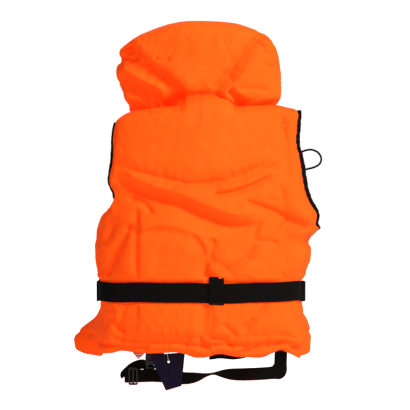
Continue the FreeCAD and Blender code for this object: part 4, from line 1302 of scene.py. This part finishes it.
def sewn_loop(name, box, line, thick, margin, facing):
    """Webbing loop round the belt with a row of stitches across each end. facing is the sign of y."""
    low, high = box
    parts = [webbing(name + "_band", line, (1, 0, 0), high[0] - low[0], thick)]
    for i, z in enumerate((low[2] + margin, high[2] - margin)):
        y = np.interp(z, line[:, 2], line[:, 1]) + facing
        row = np.array([(x, y, z) for x in np.linspace(low[0] + 3, high[0] - 3, 12)])
        parts.append(dark_row(f"{name}_row_{i}", row, (0, facing, 0), 2.4, 3.2))
    return joined(name, parts)


def belt_keeper():
    """Loop that holds the belt in the middle of the back."""
    low, high = node_box("belt_back_keeper")
    span = np.linspace(low[2], high[2], 27)
    middle = ring_run((low[0] + high[0]) / 2)
    x, y, _, _ = BACK_WALL(np.full(27, middle), 4.6 - 3.0 * over_belt(span))
    keeper = sewn_loop("belt_keeper", (low, high), np.column_stack([x, y, span]), 1.8, 3.0, 1)
    rider(keeper, "back", "webbing", "belt_back_keeper")


def belt_front(sign):
    name = SIDES[sign]
    low, high = node_box(f"belt_front_{name}")
    inner = low[0] if sign > 0 else -high[0]
    run = np.arange(inner, FRONT_END - 2, 3.0)
    x, y, _, _ = FRONT_WALL(run * sign, np.full(len(run), 1.5))
    z = BELT_Z - 4.0 * smooth((run - FRONT_END + 70) / 60) + 0.5 * np.sin(run / 21)
    line = np.column_stack([x, y, z])
    if sign < 0:
        # the belt passes the socket's slot, turns over its bar and is sewn down on itself
        bar = node_box("belt_socket")
        edge, front = bar[0][0], bar[0][1]
        flat = line[run > 64]
        up = through([flat[0], (edge - 6, -139.4, BELT_Z), (edge + 5.2, -140.0, BELT_Z),
                      (edge + 5.4, front - 1.0, BELT_Z), (edge - 2, front - 1.8, BELT_Z),
                      (edge - 11, -143.2, BELT_Z), (edge - 36, -142.6, BELT_Z)], 2.0)
        line = np.vstack([flat[::-1], up[1:]])
    parts = [webbing(f"belt_{name}_band", line, (0, 0, 1), BELT_WIDTH, 1.7)]
    if sign < 0:
        for i, x in enumerate((-66.0, -78.0)):
            row = np.array([(x, -144.1, z) for z in np.linspace(BELT_Z - 15, BELT_Z + 15, 12)])
            parts.append(dark_row(f"belt_row_{i}", row, (0, -1, 0), radius=0.4))
    rider(joined(f"waist_belt_{name}", parts), f"front_{name}", "webbing", f"belt_front_{name}")


def belt_loop(sign):
    """Guide loop for the belt on a front half."""
    name = SIDES[sign]
    low, high = node_box(f"belt_loop_{name}")
    span = np.linspace(low[2], high[2], 25)
    line = np.column_stack([np.full(25, (low[0] + high[0]) / 2), low[1] - 0.9 + 5.4 * over_belt(span), span])
    guide = sewn_loop(f"belt_guide_{name}", (low, high), line, 1.7, 2.5, -1)
    rider(guide, f"front_{name}", "webbing", f"belt_loop_{name}")


def belt_tail():
    """Free end of the belt beyond the plug, with a folded and sewn tip."""
    low, high = node_box("belt_tail")
    run = np.arange(low[0], high[0] + 0.1, 3.0)
    y = (low[1] + high[1]) / 2 - 0.2 + 0.25 * np.sin(run / 9)
    line = np.column_stack([run, y, np.full(len(run), BELT_Z)])
    tail = webbing("tail_band", line, (0, 0, 1), BELT_WIDTH, 1.6)
    hem = webbing("tail_hem", line[-5:] + [0, -0.5, 0], (0, 0, 1), BELT_WIDTH - 0.6, 1.2)
    row = np.array([(high[0] - 9, low[1] - 0.6, z) for z in np.linspace(BELT_Z - 16, BELT_Z + 16, 12)])
    rows = dark_row("tail_row", row, (0, -1, 0))
    rider(joined("waist_belt_tail", [tail, hem, rows]), "belt_plug", "webbing", "belt_tail")


def belt_side(sign):
    """Short length of belt over the side seam."""
    name = SIDES[sign]
    y = np.linspace(16, -38, 16)
    slack = 2.4 if sign > 0 else 6.0
    bow = 2.2 + slack * np.sin(np.linspace(0, math.pi, 16))
    line = np.column_stack([sign * SIDE_X + sign * bow, y, np.full(16, BELT_Z - 5.5)])
    band = webbing(f"waist_belt_side_{name}", line, (0, 0, 1), BELT_WIDTH, 1.8)
    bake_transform(band)


belt_back()
belt_keeper()
for sign in SIDES:
    belt_front(sign)
    belt_loop(sign)
    belt_side(sign)
belt_tail()


# ---- crotch strap and what hangs from the hem ---------------------------------------------------
STRAP_WIDTH = 25.0


def crotch_strap():
    """One long strap: down from the hem, across with a twist, through the slide and folded back."""
    # place (x, y, z), and the twist out of the strap's own plane in degrees
    stations = [
        (-157, 40, 16, 0), (-157, 37, 0, 0), (-156.5, 35, -18, 0), (-156, 34, -32, 0), (-155.5, 33.5, -40, 0),
        (-152, 33, -46, 0), (-145, 33, -48.5, 0), (-134, 33, -50, 4), (-118, 34, -51, 2), (-98, 34, -52, 0),
        (-78, 34, -52.5, 8), (-60, 34, -52, 22), (-42, 34, -51, 50), (-26, 34, -51, 74), (-10, 34, -54, 66),
        (8, 34, -58, 36), (26, 34, -60, 14), (46, 34, -59, 3), (70, 34, -56, 0), (92, 34, -54.8, 0),
        (112, 34, -55.4, 0), (130, 34, -55.9, 0), (147, 34, -56.4, 0)]
    table = np.array(stations, float)
    dense = through(table, 1.4)
    line = dense[:, :3]
    ahead = unit(np.gradient(line, axis=0))
    level = unit(np.cross(ahead, np.tile([0, 1, 0], (len(line), 1))))
    back = np.cross(level, ahead)
    tilt = np.radians(dense[:, 3])
    across = level * np.cos(tilt)[:, None] + back * np.sin(tilt)[:, None]
    mitre = 1 + 0.3 * np.exp(-(np.hypot(line[:, 0] + 152, line[:, 2] + 46) / 7) ** 2)
    strap = webbing("crotch_strap_run", line, across, STRAP_WIDTH * mitre, 1.7)
    rider(strap, "back", "webbing", "crotch_strap")


def crotch_strap_end():
    """The strap's last part: folded over beyond the slide and back to the plug's bar."""
    line = through([(146, 33.4, -57), (147, 32.0, -53), (139, 30.6, -46), (126, 29.8, -37), (112, 29.2, -33),
                    (101, 28.6, -38), (92, 28.2, -46)], 1.6)
    ahead = unit(np.gradient(line, axis=0))
    across = unit(np.cross(ahead, np.tile([0, 1, 0], (len(line), 1))))
    width = np.interp(np.arange(len(line)), [0, len(line) * 0.3, len(line) - 1], [16, 20, 18])
    strap = webbing("crotch_strap_end", line, across, width, 1.6, 24)
    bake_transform(strap)


def socket_tab():
    """Webbing loop that holds the crotch buckle's socket inside the hem."""
    low, high = node_box("crotch_socket_tab")
    socket = node_box("crotch_socket")
    x = (low[0] + high[0]) / 2
    front, back = socket[0][1] - 1.0, socket[1][1] + 1.0
    top = socket[1][2]
    section = [(56, 27), (50, 20), (front + 9, top + 8), (front, top + 1), (front, top - 4.4),
               ((front + back) / 2, top - 6.0), (back, top - 4.4), (back + 1, top + 1),
               (back + 10, top + 8), (52, 19), (57, 25)]
    line = through([(x, y, z) for y, z in section], 1.5)
    loop = webbing("socket_loop", line, (1, 0, 0), high[0] - low[0], 1.3, 24)
    rider(loop, "back", "webbing", "crotch_socket_tab")


def anchor_tab():
    """Black webbing sewn along the inside of the hem."""
    low, high = node_box("hem_anchor_tab")
    run = np.linspace(ring_run(low[0]), ring_run(high[0]), 32)
    x, y, _, _ = BACK_WALL(run, np.full(32, -35.6))
    z = (low[2] + high[2]) / 2 - 10 + 1.2 * np.sin(run / 9)
    band = webbing("anchor_band", np.column_stack([x, y, z]), (0, 0, 1), high[2] - low[2], 1.8, 24)
    rider(band, "back", "webbing", "hem_anchor_tab")


def whistle_cord():
    """Thin cord from the whistle, up the chest and out in a loop beyond the armhole, back to its binding."""
    line = through([
        (-121, -146, 301), (-124, -149, 308), (-136, -152, 322), (-150, -153, 338), (-164, -146, 352),
        (-180, -124, 363), (-196, -104, 374), (-209, -94, 381), (-223, -90, 383), (-236, -89, 377),
        (-242, -89, 366), (-239, -89, 355), (-228, -91, 348), (-213, -95, 344), (-199, -101, 341),
        (-186, -107, 340), (-174, -113, 341), (-162, -116, 342)], 1.0)
    run = np.arange(len(line))
    thick = 4.2 + 0.15 * np.sin(run * 1.9)
    cord = sweep("whistle_cord", line, (0, 0, 1), thick, thick, CORD, 2.0, 10)
    rider(cord, "front_right", "cord", "whistle_lanyard")


def tag_string():
    """Clear string from the hem through the hole of the tag."""
    line = through([(65, 58, 4), (64, 50.5, -8), (62, 45.6, -20), (61, 43.6, -26), (61, 42.4, -27.6),
                    (60.8, 41.2, -26), (60.6, 40.6, -14), (62, 42, -2), (64, 52, 5)], 0.8)
    string = sweep("tag_string", line, (1, 0, 0), 0.9, 0.9, THREAD, 2.0, 8)
    rider(string, "back", "clear_thread", "tag_thread")


crotch_strap()
crotch_strap_end()
socket_tab()
anchor_tab()
whistle_cord()
tag_string()


# ---- zip ----------------------------------------------------------------------------------------
TOOTH_PITCH = 2.6


def zip_tape(sign):
    """Woven tape beside the teeth, from the closure's plane back on to the cover."""
    name = SIDES[sign]
    inner, outer = 3.3, 18.6
    plane = -137.4
    low, high = node_box(f"zip_tape_{name}")
    across = np.linspace(inner, outer, 8)
    share = (across - inner) / (outer - inner)
    lines = []
    for z in np.arange(low[2], high[2] + 0.1, 3.0):
        place, _ = seat(FRONT_TREES[sign], [(sign * outer, -160, z)], 0.2, (0, 1, 0))
        cover = min(place[0][1], -134.0)
        y = plane + (cover - plane) * smooth((share - 0.3) / 0.7)
        lines.append(np.column_stack([sign * across, y, np.full(len(across), z)]))
    grid = np.array(lines)
    normals = np.zeros_like(grid)
    normals[..., 1] = -1
    parts = [sheet(f"tape_{name}", grid, normals, 0.7, TAPE)]
    for i, column in enumerate((3, 5)):
        line = grid[:, column] + [0, -0.9, 0]
        parts.append(dark_row(f"tape_row_{name}_{i}", line, (0, -1, 0), 2.6, 3.6, 0.3))
    rider(joined(f"zip_band_{name}", parts), f"front_{name}", "zip_tape", f"zip_tape_{name}")


def zip_teeth(sign):
    """Moulded teeth, each a small block with a narrower waist toward the tape."""
    name = SIDES[sign]
    low, high = node_box(f"zip_teeth_{name}")
    # a tooth's outline: distance from its tip and half its height there
    shape = [(0.0, 0.62), (0.25, 0.85), (0.85, 0.85), (1.15, 0.5), (2.1, 0.55), (2.3, 0.3)]
    tip = 0.9
    y0, y1 = -138.9, -136.3
    verts = []
    faces = []
    start = low[2] + 1.2 + (TOOTH_PITCH / 2 if sign < 0 else 0)
    for z in np.arange(start, high[2] - 0.6, TOOTH_PITCH):
        base = len(verts)
        ring = [(tip + x, half) for x, half in shape] + [(tip + x, -half) for x, half in shape[::-1]]
        for y in (y0, y1):
            inset = 0.0 if y == y1 else 0.12
            for x, half in ring:
                verts.append((sign * (x + inset), y, z + half * (1 - inset)))
        count = len(ring)
        faces.append(tuple(base + i for i in range(count)))
        faces.append(tuple(base + count + i for i in range(count))[::-1])
        for i in range(count):
            k = (i + 1) % count
            faces.append((base + k, base + i, base + count + i, base + count + k))
    teeth = new_object(f"teeth_{name}", verts, faces, None, TOOTH)
    for face in teeth.data.polygons:
        face.use_smooth = False
    rider(teeth, f"front_{name}", "zip_plastic", f"zip_teeth_{name}")


for sign in SIDES:
    zip_tape(sign)
    zip_teeth(sign)


# ---- patches and labels -------------------------------------------------------------------------
PATCH_INSET = 2.2


def patch(name, body, slot_name, tree, corners, mat, thick, cad_node):
    """Rectangle of thin material on the side of a surface toward -y, stitched round its edge.

    corners are the low and high corner in x and z.
    """
    (x0, z0), (x1, z1) = corners
    columns, rows = max(6, int(abs(x1 - x0) / 3)), max(6, int(abs(z1 - z0) / 3))
    xs, zs = np.linspace(x0, x1, columns), np.linspace(z0, z1, rows)
    place, _ = seat(tree, [(x, -100.0, z) for z in zs for x in xs], 0.35, (0, 1, 0))
    grid = place.reshape(rows, columns, 3)
    y = grid[..., 1]
    for _ in range(6):
        inner = (y[:-2, 1:-1] + y[2:, 1:-1] + y[1:-1, :-2] + y[1:-1, 2:]) / 4
        y[1:-1, 1:-1] = np.minimum(inner, y[1:-1, 1:-1])
    facing = np.array([0.0, -1.0, 0.0])
    piece = sheet(name + "_sheet", grid, np.broadcast_to(facing, grid.shape), thick, mat)
    a0, a1, b0, b1 = x0 + PATCH_INSET, x1 - PATCH_INSET, z0 + PATCH_INSET, z1 - PATCH_INSET
    loop = np.array([(a0, b0), (a1, b0), (a1, b1), (a0, b1), (a0, b0)])
    x, z = np.vstack([a + (b - a) * np.linspace(0, 1, 24, endpoint=False)[:, None]
                      for a, b in zip(loop, loop[1:])]).T
    column = (x - x0) / (x1 - x0) * (columns - 1)
    row = (z - z0) / (z1 - z0) * (rows - 1)
    c, r = np.clip(column.astype(int), 0, columns - 2), np.clip(row.astype(int), 0, rows - 2)
    u, v = column - c, row - r
    depth = (y[r, c] * (1 - u) * (1 - v) + y[r, c + 1] * u * (1 - v)
             + y[r + 1, c] * (1 - u) * v + y[r + 1, c + 1] * u * v)
    seam = np.column_stack([x, depth - thick - 0.15, z])
    stitches = stitch_row(name + "_row", seam, np.tile(facing, (len(seam), 1)), SEWING, 2.4, 3.4, 0.3)
    rider(joined(name, [piece, stitches]), body, slot_name, cad_node)


PATCH_INNER = 78.0       # where a patch on the collar starts, either side of the middle
for sign, name in SIDES.items():
    low, high = node_box(f"chest_reflective_{name}")
    patch(f"chest_patch_{name}", f"front_{name}", "reflective", FRONT_TREES[sign],
          ((low[0], low[2]), (high[0], high[2])), SILVER, 0.5, f"chest_reflective_{name}")
    low, high = node_box("collar_reflective_patches")
    start, end = sorted((sign * PATCH_INNER, sign * high[0]))
    patch(f"collar_patch_{name}", "collar", "reflective", COLLAR_TREE, ((start, low[2]), (end, high[2])),
          SILVER, 0.5, "collar_reflective_patches")
low, high = node_box("inside_label")
patch("inside_label_cloth", "back", "label_white", BACK_TREE, ((low[0], low[2]), (high[0], high[2])),
      LABEL, 0.4, "inside_label")


# ---- finishes of the rigid pieces ---------------------------------------------------------------
RIGID = {
    "crotch_socket": PLASTIC, "crotch_plug": PLASTIC, "crotch_arm_left": PLASTIC, "crotch_arm_right": PLASTIC,
    "crotch_adjuster": PLASTIC, "belt_socket": PLASTIC, "belt_plug": PLASTIC, "belt_arm_upper": PLASTIC,
    "belt_arm_lower": PLASTIC, "zip_slider": METAL, "zip_pull": METAL, "zip_pin": TOOTH, "zip_box": TOOTH,
    "whistle": WHISTLE, "hang_tag": NAVY, "care_tab": CARE,
}


def finish_rigid():
    for name, mat in RIGID.items():
        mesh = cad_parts[name].data
        for i in range(len(mesh.materials)):
            mesh.materials[i] = mat


finish_rigid()


# ---- view and light -----------------------------------------------------------------------------
CENTRE = Vector((-9.5, 100, 279)) * MM
DISTANCE = 3.5           # metres from the centre, as is the width of the view there
VIEW_WIDTH = 0.779
VIEW_RISE = math.radians(2.0)
SENSOR = 36.0
FLOOR_Z = -0.0845
FLOOR_REACH = 30.0


def camera():
    data = bpy.data.cameras.new("camera")
    data.sensor_width = SENSOR
    data.lens = SENSOR * DISTANCE / VIEW_WIDTH
    obj = bpy.data.objects.new("camera", data)
    bpy.context.scene.collection.objects.link(obj)
    obj.location = CENTRE + Vector((0, math.cos(VIEW_RISE), math.sin(VIEW_RISE))) * DISTANCE
    obj.rotation_euler = (CENTRE - obj.location).to_track_quat("-Z", "Y").to_euler()
    bpy.context.scene.camera = obj


def softbox(name, place, size, power):
    light = bpy.data.lights.new(name, "AREA")
    light.shape = "RECTANGLE"
    light.size, light.size_y = size
    light.energy = power
    obj = bpy.data.objects.new(name, light)
    bpy.context.scene.collection.objects.link(obj)
    obj.location = place
    obj.rotation_euler = (CENTRE - Vector(place)).to_track_quat("-Z", "Y").to_euler()


def studio():
    world = bpy.data.worlds.new("studio")
    bpy.context.scene.world = world
    world.use_nodes = True
    tree = world.node_tree
    background = tree.nodes["Background"]
    path = tree.nodes.new("ShaderNodeLightPath")
    mix = tree.nodes.new("ShaderNodeMix")
    share, as_light, as_seen = mix.inputs[0], mix.inputs[2], mix.inputs[3]
    as_light.default_value = 0.16
    as_seen.default_value = 1.05
    tree.links.new(path.outputs["Is Camera Ray"], share)
    tree.links.new(mix.outputs[0], background.inputs["Strength"])
    background.inputs["Color"].default_value = (1, 1, 1, 1)
    softbox("key", (-1.9, 1.9, 2.3), (0.9, 0.9), 116)
    softbox("fill", (0.3, 3.4, 0.9), (1.6, 1.4), 13)
    softbox("front_fill", (0.6, -2.6, 1.6), (2.0, 2.0), 30)
    bpy.context.scene.view_settings.view_transform = "Standard"


def floor():
    """Pale ground that the camera sees as nearly white."""
    low = min(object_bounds()[0][2], FLOOR_Z)
    mat = shader("pale_floor", (0.9, 0.9, 0.88), 0.9, Emission_Color=(1, 1, 0.98, 1))
    seen = combine(mat, "MULTIPLY", node(mat, "ShaderNodeLightPath").outputs["Is Camera Ray"], 0.9)
    join(mat, seen, mat.node_tree.nodes["Principled BSDF"].inputs["Emission Strength"])
    corners = [(x * FLOOR_REACH / MM, y * FLOOR_REACH / MM, low / MM)
               for x, y in ((-1, -1), (1, -1), (1, 1), (-1, 1))]
    new_object("floor", corners, [(0, 1, 2, 3)], None, mat)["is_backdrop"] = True


camera()
studio()
floor()
